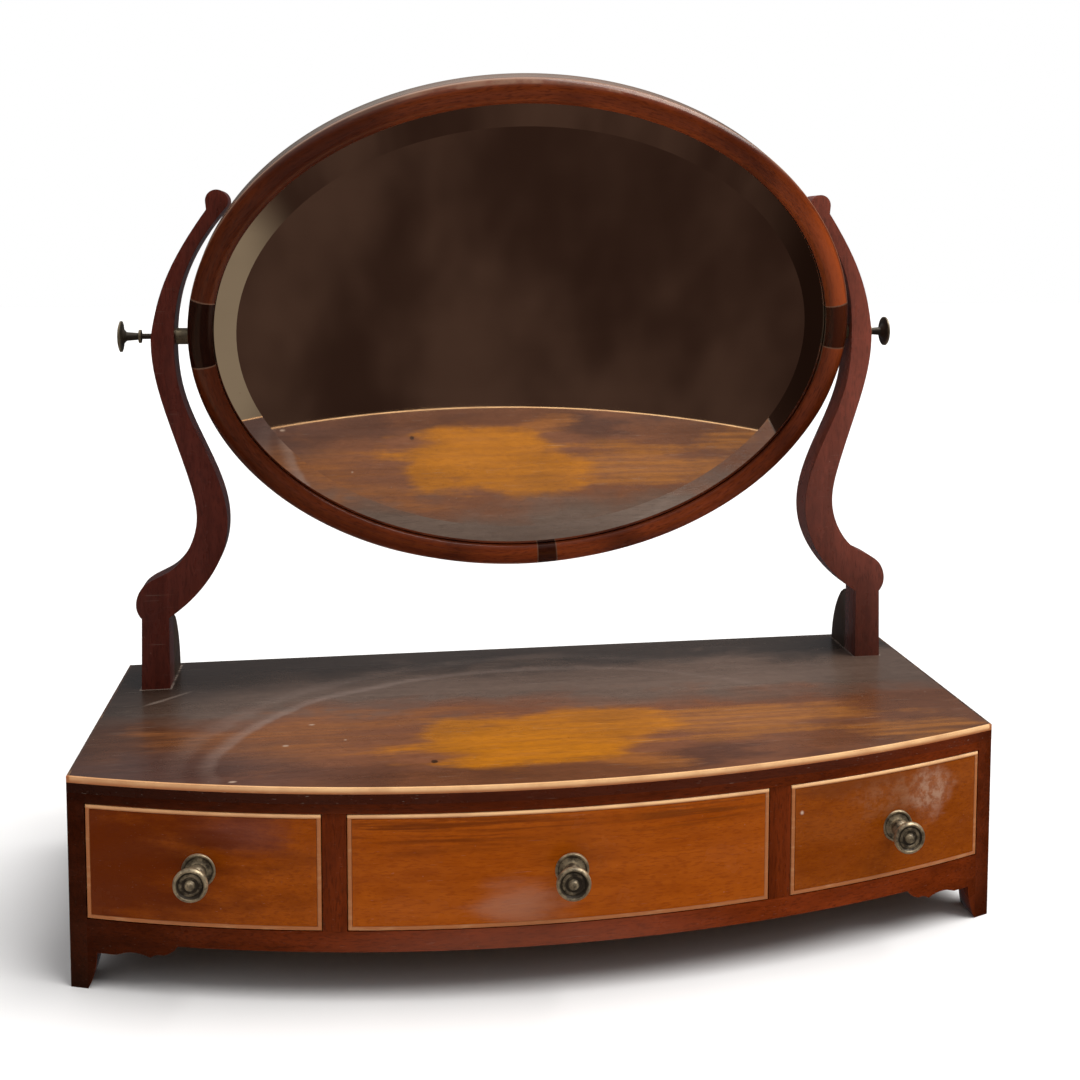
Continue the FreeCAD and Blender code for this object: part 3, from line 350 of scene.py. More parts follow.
def wear_and_highlight_group():
    """Lays a rubbed colour along the edges that the makers marked; along the frame's outer edge it is a painted
    highlight.
    """
    name = "Rubbed Edges"
    if name in bpy.data.node_groups:
        return bpy.data.node_groups[name]
    net, given, out = shader_group(
        name, {"Vector": "Vector", "Colour": "Color", "Rubbed": "Color", "Amount": "Float"},
        {"Colour": "Color"})
    edge = net.attribute("rub")
    uneven = net.span(net.noise(given["Vector"], 70.0, 4.0), 0.35, 0.65, 0.25, 1.0)
    mask = net.times(net.times(edge, uneven), given["Amount"], clamp=True)
    net.wire(out, Colour=net.mix(mask, given["Colour"], given["Rubbed"]))
    return net.tree


def dust_group():
    """Small pale specks, short scratches and a cloudy bloom."""
    name = "Dust And Scratches"
    if name in bpy.data.node_groups:
        return bpy.data.node_groups[name]
    net, given, out = shader_group(
        name, {"Vector": "Vector", "Specks": "Float", "Bloom": "Float"},
        {"Specks": "Float", "Cloud": "Float"})
    vector = given["Vector"]
    cell = net.add("ShaderNodeTexVoronoi", {"Vector": vector, "Scale": 130.0, "Randomness": 1.0})
    dots = net.span(cell.outputs["Distance"], 0.03, 0.08, 1.0, 0.0)
    few = net.span(net.noise(net.place(vector, shift=(3, 1, 2)), 45.0, 2.0), 0.56, 0.66)
    scratch = net.noise(net.place(vector, (30, 1400, 1400), turn=(0, 0, 0.35)), 1.0, 1.0)
    lines = net.times(net.span(scratch, 0.72, 0.78), 0.5)
    specks = net.larger(net.times(dots, few), lines)
    cloud = net.span(net.noise(vector, 16.0, 5.0, 0.65), 0.42, 0.75)
    net.wire(out, Specks=net.times(specks, given["Specks"], clamp=True),
             Cloud=net.times(cloud, given["Bloom"], clamp=True))
    return net.tree


def new_material(name, **constants):
    """A material with one Principled shader: returns it, its net, the shader and its object coordinates."""
    material = bpy.data.materials.new(name)
    material.use_nodes = True
    net = Net(material.node_tree)
    shader = material.node_tree.nodes["Principled BSDF"]
    for title, value in constants.items():
        shader.inputs[title.replace("_", " ")].default_value = value
    place = net.add("ShaderNodeTexCoord").outputs["Object"]
    return material, net, shader, place


def add_bump(net, shader, height, distance, strength=1.0):
    bump = net.add("ShaderNodeBump", {"Height": height, "Distance": distance, "Strength": strength})
    net.feed(shader.inputs["Normal"], bump.outputs[0])


GRAIN_ALONG = {"X": (0, 0, 0), "Y": (0, 0, math.radians(90)), "Z": (0, math.radians(90), 0)}


def mahogany(name, dark, light, along="X", contrast=2.2, rubbed=None, edge=0.6, gloss=0.2, shift=(0, 0, 0),
             paint=None, bump=0.00006, specks=0.25, sheen=0.15, polish=(0.03, 0.12)):
    """Polished mahogany. paint(net, place, colour, figure) may lay more colour over the grain."""
    material, net, shader, place = new_material(name, Coat_Roughness=0.14, Specular_IOR_Level=sheen)
    grain = net.group(grain_group(), Vector=net.place(place, shift=shift, turn=GRAIN_ALONG[along]),
                      Dark=dark, Light=light, Contrast=contrast)
    colour = grain.outputs["Colour"]
    figure = grain.outputs["Figure"]
    if paint:
        colour = paint(net, place, colour, figure)
    dust = net.group(dust_group(), Vector=place, Specks=specks, Bloom=0.1)
    colour = net.mix(dust.outputs["Specks"], colour, (0.5, 0.42, 0.34))
    worn = net.group(wear_and_highlight_group(), Vector=place, Colour=colour, Rubbed=rubbed or light, Amount=edge)
    rough = net.plus(net.span(figure, 0.3, 0.7, gloss, gloss + 0.1), dust.outputs["Cloud"])
    net.wire(shader, Base_Color=worn.outputs["Colour"], Roughness=rough,
             Coat_Weight=net.span(figure, 0.25, 0.75, *polish))
    add_bump(net, shader, grain.outputs["Height"], bump)
    return material


def swept_mahogany(name, dark, light, rubbed, shift=0.0):
    """Frame mahogany, whose grain follows the moulding through its along and across attributes.

    Its broad tones are painted light and shade: painted shade at the left, on the inner part of the face and on
    the outer slope at the right; painted light low down and on the outer side near the top; painted highlights at
    the upper right and along the outer edge.
    """
    material, net, shader, place = new_material(name, Coat_Roughness=0.12, Specular_IOR_Level=0.2)
    along = net.attribute("along")
    across = net.attribute("across")
    path = net.add("ShaderNodeCombineXYZ", {0: net.plus(along, shift), 1: across, 2: shift})
    grain = net.group(grain_group(), Vector=path.outputs[0], Dark=dark, Light=light, Contrast=1.3)
    worn = net.group(wear_and_highlight_group(), Vector=place, Colour=grain.outputs["Colour"], Rubbed=rubbed, Amount=0.5)
    joint = net.attribute("joint")
    x, _, z = net.split(place)
    # Painted shade at the left, painted light towards the right.
    lit = net.ramp(net.span_line(x, -0.26, 0.26), (0.0, 0.42), (0.25, 0.6), (0.6, 0.95), (1.0, 1.0))
    colour = net.shade(worn.outputs["Colour"], lit)
    # Painted light on the lower part of the frame.
    low = net.span(z, 0.22, 0.3, 0.75, 0.0)
    colour = net.mix(low, colour, net.mix(1.0, colour, colour, "ADD"))
    deep = net.span(net.noise(net.place(place, (8, 8, 8)), 1.0, 2.0), 0.46, 0.62, 0.0, 0.65)
    colour = net.mix(deep, colour, scaled(dark, 0.5))
    # Painted shade on the outer slope at the right, and on the inner part of the face.
    slope = net.times(net.span(across, 0.036, 0.042), net.span(x, 0.03, 0.2, 0.0, 0.15))
    colour = net.mix(slope, colour, dark)
    colour = net.mix(net.span(across, 0.022, 0.034, 0.5, 0.0), colour, dark)
    # A painted highlight on the outer part of the face at the upper right.
    painted_highlight = net.times(net.span(across, 0.031, 0.039), net.span(across, 0.044, 0.0465, 1.0, 0.0))
    upper_right = net.blot(x, z, (0.25, 0.43), (0.12, 0.07), 0.45, 0.0, (0.3, 1.2))
    painted_highlight = net.times(painted_highlight, upper_right)
    colour = net.mix(painted_highlight, colour, scaled(light, 1.8))
    # Painted light on the outer side near the top.
    outside = net.times(net.span(across, 0.0535, 0.0545), net.span(z, 0.4, 0.48, 0.0, 0.5))
    colour = net.mix(outside, colour, (0.34, 0.28, 0.21))
    # A painted highlight along the outer edge, stronger higher up.
    rim = net.times(net.span(across, 0.0465, 0.049), net.span(across, 0.0515, 0.053, 1.0, 0.0))
    high = net.span(z, 0.34, 0.44, 0.2, 0.8)
    colour = net.mix(net.times(rim, high), colour, rubbed)
    seam = net.span(joint, 0.8, 0.95, 0.0, 0.8)
    colour = net.mix(seam, colour, (0.2, 0.1, 0.06))
    figure = grain.outputs["Figure"]
    net.wire(shader, Base_Color=colour, Roughness=net.span(figure, 0.3, 0.7, 0.22, 0.3),
             Coat_Weight=net.span(figure, 0.3, 0.7, 0.3, 0.5))
    add_bump(net, shader, grain.outputs["Height"], 0.000015)
    return material


def softwood(name, pine):
    """Bare aged pine with its wide rings."""
    material, net, shader, place = new_material(name, Specular_IOR_Level=0.2)
    bent = net.place(place, turn=(0, 0.03, 0.02))
    ring = net.noise(net.place(bent, (1.6, 95, 95)), 1.0, 5.0, 0.7, 0.3)
    fine = net.noise(net.place(bent, (20, 700, 700)), 1.0, 3.0)
    stain = net.noise(place, 9.0, 5.0, 0.65)
    colour = net.mix(net.span(ring, 0.42, 0.6), pine, scaled(pine, 0.7))
    colour = net.mix(net.span(stain, 0.45, 0.75, 0.0, 0.6), colour, scaled(pine, 0.4))
    colour = net.mix(net.span(fine, 0.5, 0.7, 0.0, 0.4), colour, scaled(pine, 0.45))
    net.wire(shader, Base_Color=colour, Roughness=net.span(ring, 0.3, 0.7, 0.62, 0.8))
    add_bump(net, shader, net.plus(fine, ring), 0.00015)
    return material


def boxwood(name, tint, soiled):
    """Inlaid boxwood: paler along the top and over the drawers, cleaner wood with a painted highlight on the upper
    edges, and less pale towards the left; soiled elsewhere, dark down the ends.
    """
    material, net, shader, place = new_material(name, Coat_Roughness=0.12, Specular_IOR_Level=0.35)
    x, y, z = net.split(place)
    soil = net.noise(place, 38.0, 5.0, 0.6)
    fine = net.noise(net.place(place, (60, 60, 300)), 1.0, 3.0)
    from_middle = net.size_of(x)
    # The drawers' upper lines and the top's upper edge are paler: cleaner wood, and a painted highlight where they
    # face up.
    over_drawers = net.times(net.span(z, 0.114, 0.1156), net.span(z, 0.118, 0.12, 1.0, 0.0))
    over_drawers = net.times(over_drawers, net.span(x, -0.3, -0.02, 0.5, 1.0))
    round_top = net.times(net.span(z, 0.1294, 0.1322), net.span(from_middle, 0.2975, 0.2985, 1.0, 0.0))
    round_top = net.times(round_top, net.span(x, -0.3, -0.1, 0.55, 1.0))
    clean_and_highlight = net.larger(over_drawers, round_top)
    clean_and_highlight = net.times(clean_and_highlight, net.span(soil, 0.35, 0.75, 1.0, 0.6))
    colour = net.mix(clean_and_highlight, soiled, tint)
    down_sides = net.times(net.span(from_middle, 0.2965, 0.2972), net.span(y, -0.0806, -0.0786))
    colour = net.mix(down_sides, colour, (0.05, 0.021, 0.011))
    colour = net.mix(net.span(fine, 0.5, 0.7, 0.0, 0.18), colour, (0.66, 0.4, 0.2))
    net.wire(shader, Base_Color=colour, Roughness=net.span(soil, 0.3, 0.7, 0.3, 0.42),
             Coat_Weight=net.span(soil, 0.3, 0.7, 0.3, 0.1))
    add_bump(net, shader, fine, 0.00004)
    return material


def aged_brass(name, dark, bright, shine=1.0):
    """Old brass: dark in the hollows, rubbed bright on the rims, with brown spots."""
    material, net, shader, place = new_material(name)
    rub = net.attribute("rub")
    patchy = net.noise(place, 160.0, 5.0, 0.6)
    spots = net.noise(place, 700.0, 3.0, 0.6)
    lifted = net.plus(rub, net.span(patchy, 0.3, 0.7, -0.16, 0.16), clamp=True)
    lifted = net.times(lifted, shine, clamp=True)
    colour = net.ramp(lifted, (0.28, dark), (0.56, between(dark, bright, 0.4)), (0.78, bright))
    colour = net.mix(net.span(spots, 0.54, 0.7, 0.0, 0.6), colour, dark)
    net.wire(shader, Base_Color=colour, Metallic=net.span(lifted, 0.05, 0.9, 0.4, 0.72),
             Roughness=net.span(lifted, 0.1, 0.9, 0.5, 0.3))
    add_bump(net, shader, net.plus(patchy, spots), 0.00008)
    return material


def dull_steel(name, tint):
    """Old screw steel with rust in it."""
    material, net, shader, place = new_material(name, Metallic=0.9)
    rust = net.noise(place, 260.0, 4.0, 0.6)
    colour = net.mix(net.span(rust, 0.45, 0.65), tint, (0.1, 0.045, 0.022))
    net.wire(shader, Base_Color=colour, Roughness=net.span(rust, 0.4, 0.7, 0.38, 0.7))
    add_bump(net, shader, rust, 0.00008)
    return material


def silvered_glass(name, tint):
    """Mirror plate with faint dust; its bevel is in the glass's own shape."""
    material, net, shader, place = new_material(name, Metallic=1.0, Specular_IOR_Level=0.5)
    dust = net.group(dust_group(), Vector=net.place(place, (0.7, 0.7, 0.7)), Specks=0.3, Bloom=0.02)
    smear = net.noise(net.place(place, (7, 7, 22)), 1.0, 4.0)
    veil = net.mix(net.span(smear, 0.35, 0.75), tint, scaled(tint, 0.93))
    net.wire(shader, Base_Color=net.mix(dust.outputs["Specks"], veil, (0.6, 0.55, 0.5)),
             Roughness=net.plus(net.span(smear, 0.3, 0.8, 0.012, 0.03), dust.outputs["Cloud"]))
    return material


# ---------------------------------------------------------------- making the pieces

MERGE = 0.000002


def placed(name, data):
    """A new object in the scene."""
    made = bpy.data.objects.new(name, data)
    bpy.context.scene.collection.objects.link(made)
    return made


def link_piece(name, mesh, body, slot, *nodes):
    """A finished mesh as a piece of the object."""
    piece = placed(name, mesh)
    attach(piece, body)
    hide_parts(*nodes)
    return piece


def merged(node):
    """The node's own mesh with its doubles merged and its flat faces whole."""
    work = bmesh.new()
    work.from_mesh(NODES[node].data)
    bmesh.ops.remove_doubles(work, verts=work.verts, dist=MERGE)
    bmesh.ops.dissolve_limit(work, angle_limit=math.radians(0.05), verts=work.verts, edges=work.edges)
    return work


def convex_edges(work, least=40.0):
    """The outward corners of a shape."""
    found = []
    for edge in work.edges:
        if len(edge.link_faces) == 2 and edge.calc_face_angle_signed(0) > math.radians(least):
            found.append(edge)
    return found


def mark_smooth(work, sharp=32.0):
    """Smooth shading, with the edges that bend by more than sharp degrees kept crisp."""
    for face in work.faces:
        face.smooth = True
    for edge in work.edges:
        bend = edge.calc_face_angle(3.0) if len(edge.link_faces) == 2 else 3.0
        edge.smooth = bend < math.radians(sharp)


def plain_mesh(work, name):
    """Ends the work on a shape and keeps its mesh."""
    mesh = bpy.data.meshes.new(name)
    work.to_mesh(mesh)
    work.free()
    return mesh


def cut_polygons(work):
    """Cuts the faces with more than four sides into triangles."""
    bmesh.ops.triangulate(work, faces=[f for f in work.faces if len(f.verts) > 4])


def soften(node, width, where, segments=3):
    """A copy of a CAD board whose outward corners are rounded, with the rub attribute on them."""
    work = merged(node)
    edges = [e for e in convex_edges(work) if where((e.verts[0].co + e.verts[1].co) / 2, e)]
    rub = work.verts.layers.float.new("rub")
    made = bmesh.ops.bevel(work, geom=edges, offset=width, offset_type="OFFSET", segments=segments,
                           profile=0.5, affect="EDGES", clamp_overlap=True)
    rounded_faces = set(made["faces"])
    for face in made["faces"]:
        for vert in face.verts:
            vert[rub] = 1.0 if all(f in rounded_faces for f in vert.link_faces) else 0.0
    mark_smooth(work)
    cut_polygons(work)
    return plain_mesh(work, node + "_soft")


# How the rub attribute follows the bend of a turned surface, and how far it is evened out.
RUB_LEVEL = 0.42
RUB_SLOPE = 1.6
EVENING_ROUNDS = 2
HOLLOW = (0.25, 0.78)
HOLLOW_RUB = 0.76


def turned_copy(node, material, facing_front=False):
    """A copy of a turned piece, whose rub attribute is high on rims and low in hollows.

    On a piece whose face is seen, the ring between the two HOLLOW shares of its radius is rubbed less.
    """
    work = merged(node)
    rub = work.verts.layers.float.new("rub")
    centre = sum((vert.co for vert in work.verts), Vector()) / len(work.verts)
    far = {vert: math.hypot(vert.co.x - centre.x, vert.co.z - centre.z) for vert in work.verts}
    rim = max(far.values())
    work.normal_update()
    for vert in work.verts:
        lean = 0.0
        for edge in vert.link_edges:
            away = edge.other_vert(vert).co - vert.co
            lean -= vert.normal.dot(away.normalized())
        lean /= max(len(vert.link_edges), 1)
        vert[rub] = min(max(RUB_LEVEL + RUB_SLOPE * lean, 0.0), 1.0)
    for _ in range(EVENING_ROUNDS):
        mean = {}
        for vert in work.verts:
            around = [edge.other_vert(vert)[rub] for edge in vert.link_edges]
            mean[vert] = sum(around) / max(len(around), 1)
        for vert, value in mean.items():
            vert[rub] = 0.5 * vert[rub] + 0.5 * value
    for vert in work.verts:
        if facing_front and HOLLOW[0] * rim < far[vert] < HOLLOW[1] * rim:
            vert[rub] *= HOLLOW_RUB
    mark_smooth(work, 38.0)
    cut_polygons(work)
    mesh = plain_mesh(work, node + "_turned")
    mesh.materials.append(material)
    return mesh


def dress(node, material):
    """Gives a CAD node a better finish."""
    data = NODES[node].data
    data.materials.clear()
    data.materials.append(material)


def body_of_node(node):
    """The body that a CAD node belongs to."""
    return next(b for b, members in frame["record"]["behaviour"]["bodies"].items() if node in members)


def board(node, material, slot, width, where):
    """A CAD board's softened copy as a piece; where() picks the corners that are rounded."""
    mesh = soften(node, width, where)
    mesh.materials.append(material)
    return link_piece(node + "_board", mesh, body_of_node(node), slot, node)


# ---------------------------------------------------------------- swept mouldings and repeated screws

def geometry_tree(name, inputs):
    """A Geometry Nodes tree with named inputs: its net, its given sockets, its output node, identifiers."""
    tree = bpy.data.node_groups.new(name, "GeometryNodeTree")
    tree.interface.new_socket("Geometry", in_out="INPUT", socket_type="NodeSocketGeometry")
    names = {}
    for title, kind in inputs.items():
        socket = tree.interface.new_socket(title, in_out="INPUT", socket_type="NodeSocket" + kind)
        names[title] = socket.identifier
    tree.interface.new_socket("Geometry", in_out="OUTPUT", socket_type="NodeSocketGeometry")
    net = Net(tree)
    given = net.add("NodeGroupInput").outputs
    return net, given, net.add("NodeGroupOutput"), names


def finish_tree(net, last, material, out):
    """Ends a tree: its instances made real, and its material set."""
    real = net.add("GeometryNodeRealizeInstances", {"Geometry": last.outputs[0]})
    done = net.add("GeometryNodeSetMaterial", {"Geometry": real.outputs[0], "Material": material})
    net.feed(out.inputs[0], done.outputs[0])


def moulding_tree():
    """Sweeps a section along a path at an even step, and keeps how far along and across each point lies."""
    net, given, out, names = geometry_tree(
        "Swept Moulding", {"Section": "Object", "Step": "Float", "Finish": "Material"})
    path = net.add("GeometryNodeResampleCurve", {"Curve": given["Geometry"], "Length": given["Step"]},
                   mode="LENGTH")
    upright = net.add("GeometryNodeSetCurveNormal", {"Curve": path.outputs[0]}, mode="Z_UP")
    section = net.add("GeometryNodeObjectInfo", {"Object": given["Section"]})
    length = net.add("GeometryNodeSplineParameter").outputs["Length"]
    run = net.add("GeometryNodeCaptureAttribute", {"Geometry": upright.outputs[0]})
    run.capture_items.new("FLOAT", "along")
    net.feed(run.inputs["along"], length)
    girth = net.add("GeometryNodeCaptureAttribute", {"Geometry": section.outputs["Geometry"]})
    girth.capture_items.new("FLOAT", "across")
    net.feed(girth.inputs["across"], length)
    swept = net.add("GeometryNodeCurveToMesh", {"Curve": run.outputs[0], "Profile Curve": girth.outputs[0],
                                                "Fill Caps": True})
    for name, value in (("along", run.outputs["along"]), ("across", girth.outputs["across"])):
        swept = net.add("GeometryNodeStoreNamedAttribute", {"Geometry": swept.outputs[0], "Name": name,
                                                            "Value": value})
    finish_tree(net, swept, given["Finish"], out)
    return net.tree, names


def screw_tree():
    """Sets a screw on each point, facing along the point's normal, each turned by chance."""
    net, given, out, names = geometry_tree(
        "Screws On Points", {"Screw": "Object", "Seed": "Int", "Finish": "Material"})
    head = net.add("GeometryNodeObjectInfo", {"Object": given["Screw"]})
    outward = net.add("GeometryNodeInputNamedAttribute", {"Name": "facing"}, data_type="FLOAT_VECTOR")
    facing = net.add("FunctionNodeAlignRotationToVector", {"Vector": outward.outputs[0]}, axis="Z")
    chance = net.add("FunctionNodeRandomValue", {2: 0.0, 3: 6.28, "Seed": given["Seed"]}, data_type="FLOAT")
    spin = net.add("FunctionNodeAxisAngleToRotation", {"Axis": (0, 0, 1), "Angle": chance.outputs[1]})
    turned = net.add("FunctionNodeRotateRotation", {0: facing.outputs[0], 1: spin.outputs[0]},
                     rotation_space="LOCAL")
    set_on = net.add("GeometryNodeInstanceOnPoints", {"Points": given["Geometry"],
                                                      "Instance": head.outputs["Geometry"],
                                                      "Rotation": turned.outputs[0]})
    finish_tree(net, set_on, given["Finish"], out)
    return net.tree, names


def grown(data, tree, names, values):
    """The plain mesh that a Geometry Nodes tree makes of a curve or mesh."""
    holder = placed("grown", data)
    modifier = holder.modifiers.new("grow", "NODES")
    modifier.node_group = tree
    for title, value in values.items():
        modifier[names[title]] = value
    bpy.context.view_layer.update()
    ready = holder.evaluated_get(bpy.context.evaluated_depsgraph_get())
    mesh = bpy.data.meshes.new_from_object(ready)
    holder.modifiers.clear()
    bpy.data.objects.remove(holder)
    return mesh


def curve_of(name, points, closed=False):
    """A plain poly curve through the points."""
    curve = bpy.data.curves.new(name, "CURVE")
    curve.dimensions = "3D"
    line = curve.splines.new("POLY")
    line.points.add(len(points) - 1)
    for point, place in zip(line.points, points):
        point.co = (*place, 1)
    line.use_cyclic_u = closed
    return curve


def rounded(corners, steps=5):
    """Points of an outline whose corners, (x, y, radius), are rounded where the radius isn't zero."""
    points = []
    for number, (x, y, radius) in enumerate(corners):
        here = Vector((x, y))
        if not radius:
            points.append(here)
            continue
        before = Vector(corners[number - 1][:2]) - here
        after = Vector(corners[(number + 1) % len(corners)][:2]) - here
        half = before.angle(after) / 2
        reach = radius / math.tan(half)
        centre = here + (before.normalized() + after.normalized()).normalized() * radius / math.sin(half)
        start = here + before.normalized() * reach - centre
        sweep = start.angle_signed(here + after.normalized() * reach - centre)
        for step in range(steps + 1):
            turn = -sweep * step / steps
            points.append(centre + Matrix.Rotation(turn, 2) @ start)
    return points


CROWN_STEPS = 16
PATH_STEPS = 240
JOINT_WIDTH = 0.0002
# The moulding's outer edge carries a painted highlight from this far forward, and this far out from the sight
# oval.
HIGHLIGHT_OVER = 0.0095
HIGHLIGHT_PAST = 1.083
# The outside is planed down to a larger oval that stands a little off the middle.
OUTSIDE_GROWTH = 0.0033
OUTSIDE_CENTRE = Vector((-0.0032, 0.005))


def moulding_section(shape):
    """The section of the frame: out from the sight edge, and forward of the middle of the moulding."""
    crown, lip, shoulder = 0.0116, 0.0116, 0.0104
    width, rabbet, front, back, back_edge = shape.face_width, 0.006, 0.009, -0.0105, 0.0006
    chord = Vector((width, shoulder - lip))
    middle = Vector((0, lip)) + chord / 2
    rise = math.sqrt(crown ** 2 - (chord.length / 2) ** 2)
    centre = middle - Vector((-chord.y, chord.x)).normalized() * rise
    start = math.atan2(lip - centre.y, -centre.x)
    end = math.atan2(shoulder - centre.y, width - centre.x)
    corners = [(rabbet, back, 0), (rabbet, front, 0), (0, front, 0), (0, lip, shape.lip)]
    for step in range(2, CROWN_STEPS - 1):
        turn = start + (end - start) * step / CROWN_STEPS
        corners.append((centre.x + crown * math.cos(turn), centre.y + crown * math.sin(turn), 0))
    corners += [(width, shoulder, shape.shoulder), (width, back, back_edge)]
    return [(point.x, -point.y, 0) for point in rounded(corners)]


def to_mirror(shape):
    """From the oval's own plane (right, up, forward) to its place in the model."""
    flat = Matrix(((1, 0, 0), (0, 0, -1), (0, 1, 0))).to_4x4()
    middle = Matrix.Translation(PIVOT + Vector((shape.offset, 0, 0)))
    return middle @ Matrix.Rotation(shape.tilt, 4, "X") @ flat


# Each piece of the frame, with the bearings of its two ends on the oval in degrees.
JOINTS = (
    ("frame_top", 6.2, 172.8), ("frame_block_left", 172.8, 184.6), ("frame_lower_left", 184.6, 274.0),
    ("frame_block_bottom", 274.0, 278.8), ("frame_lower_right", 278.8, 358.0),
    ("frame_block_right", -2.0, 6.2))


def plane_outside(mesh, shape):
    """Planes the outside down to the eccentric oval that leaves the lower right narrower."""
    grow = shape.face_width + OUTSIDE_GROWTH
    wide, tall = shape.sight_width / 2 + grow, shape.sight_height / 2 + grow
    for vert in mesh.vertices:
        out = Vector(vert.co[:2]) - OUTSIDE_CENTRE
        past = math.hypot(out.x / wide, out.y / tall)
        if past > 1:
            vert.co.x, vert.co.y = OUTSIDE_CENTRE + out / past


def frame_piece(name, start, end, shape, tree, names, material):
    """One piece of the frame, swept between two bearings of the oval in degrees."""
    half_wide, half_tall = shape.sight_width / 2, shape.sight_height / 2
    turns = []
    for bearing in (start, end):
        angle = math.radians(bearing)
        turns.append(math.atan2(half_wide * math.sin(angle), half_tall * math.cos(angle)))
    if turns[1] < turns[0]:
        turns[1] += math.tau
    path = []
    for step in range(PATH_STEPS + 1):
        turn = turns[0] + (turns[1] - turns[0]) * step / PATH_STEPS
        path.append((half_wide * math.cos(turn), half_tall * math.sin(turn), 0))
    section = placed("section", curve_of("section", moulding_section(shape), closed=True))
    mesh = grown(curve_of(name + "_path", path), tree, names,
                 {"Section": section, "Step": shape.sweep_step, "Finish": material})
    bpy.data.objects.remove(section)
    plane_outside(mesh, shape)
    work = bmesh.new()
    work.from_mesh(mesh)
    bmesh.ops.remove_doubles(work, verts=work.verts, dist=MERGE)
    bmesh.ops.recalc_face_normals(work, faces=work.faces)
    along = work.verts.layers.float["along"]
    joint = work.verts.layers.float.new("joint")
    rub = work.verts.layers.float.new("rub")
    longest = max(v[along] for v in work.verts)
    for vert in work.verts:
        near = min(vert[along], longest - vert[along])
        vert[joint] = 1.0 if near < JOINT_WIDTH else 0.0
        past = math.hypot(vert.co.x / half_wide, vert.co.y / half_tall)
        # The outer front edge of the frame is marked for a painted highlight.
        vert[rub] = 1.0 if vert.co.z - HIGHLIGHT_OVER > 0 and past > HIGHLIGHT_PAST else 0.0
    mark_smooth(work)
    work.transform(to_mirror(shape))
    work.to_mesh(mesh)
    work.free()
    return mesh


# ---------------------------------------------------------------- the operators, one for each group of pieces

class Maker(bpy.types.Operator):
    """Shared base of the makers."""
    bl_options = {"REGISTER", "UNDO"}

    @property
    def shape(self):
        return bpy.context.scene.toilet_shape

    @property
    def wood(self):
        return bpy.context.scene.toilet_wood

    @property
    def metal(self):
        return bpy.context.scene.toilet_metal


# Where the marks on the top lie: a slanting wax stroke, the feet of the posts, and the chips.
WAX_SLANT = -0.925
WAX_CENTRE = (-0.2606, 0.292)
POST_FOOT = (0.2713, 0.1011)
POST_FOOT_HALF = (0.01, 0.027)
STREAK = (0.4, 1.2)
CHIPS = (((-0.156, -0.015), (0.0022, 0.0014)), ((-0.171, -0.051), (0.002, 0.0015)),
         ((-0.133, -0.046), (0.0013, 0.0014)), ((-0.199, -0.105), (0.0028, 0.0016)))


TOP_ARRIS = 0.1329


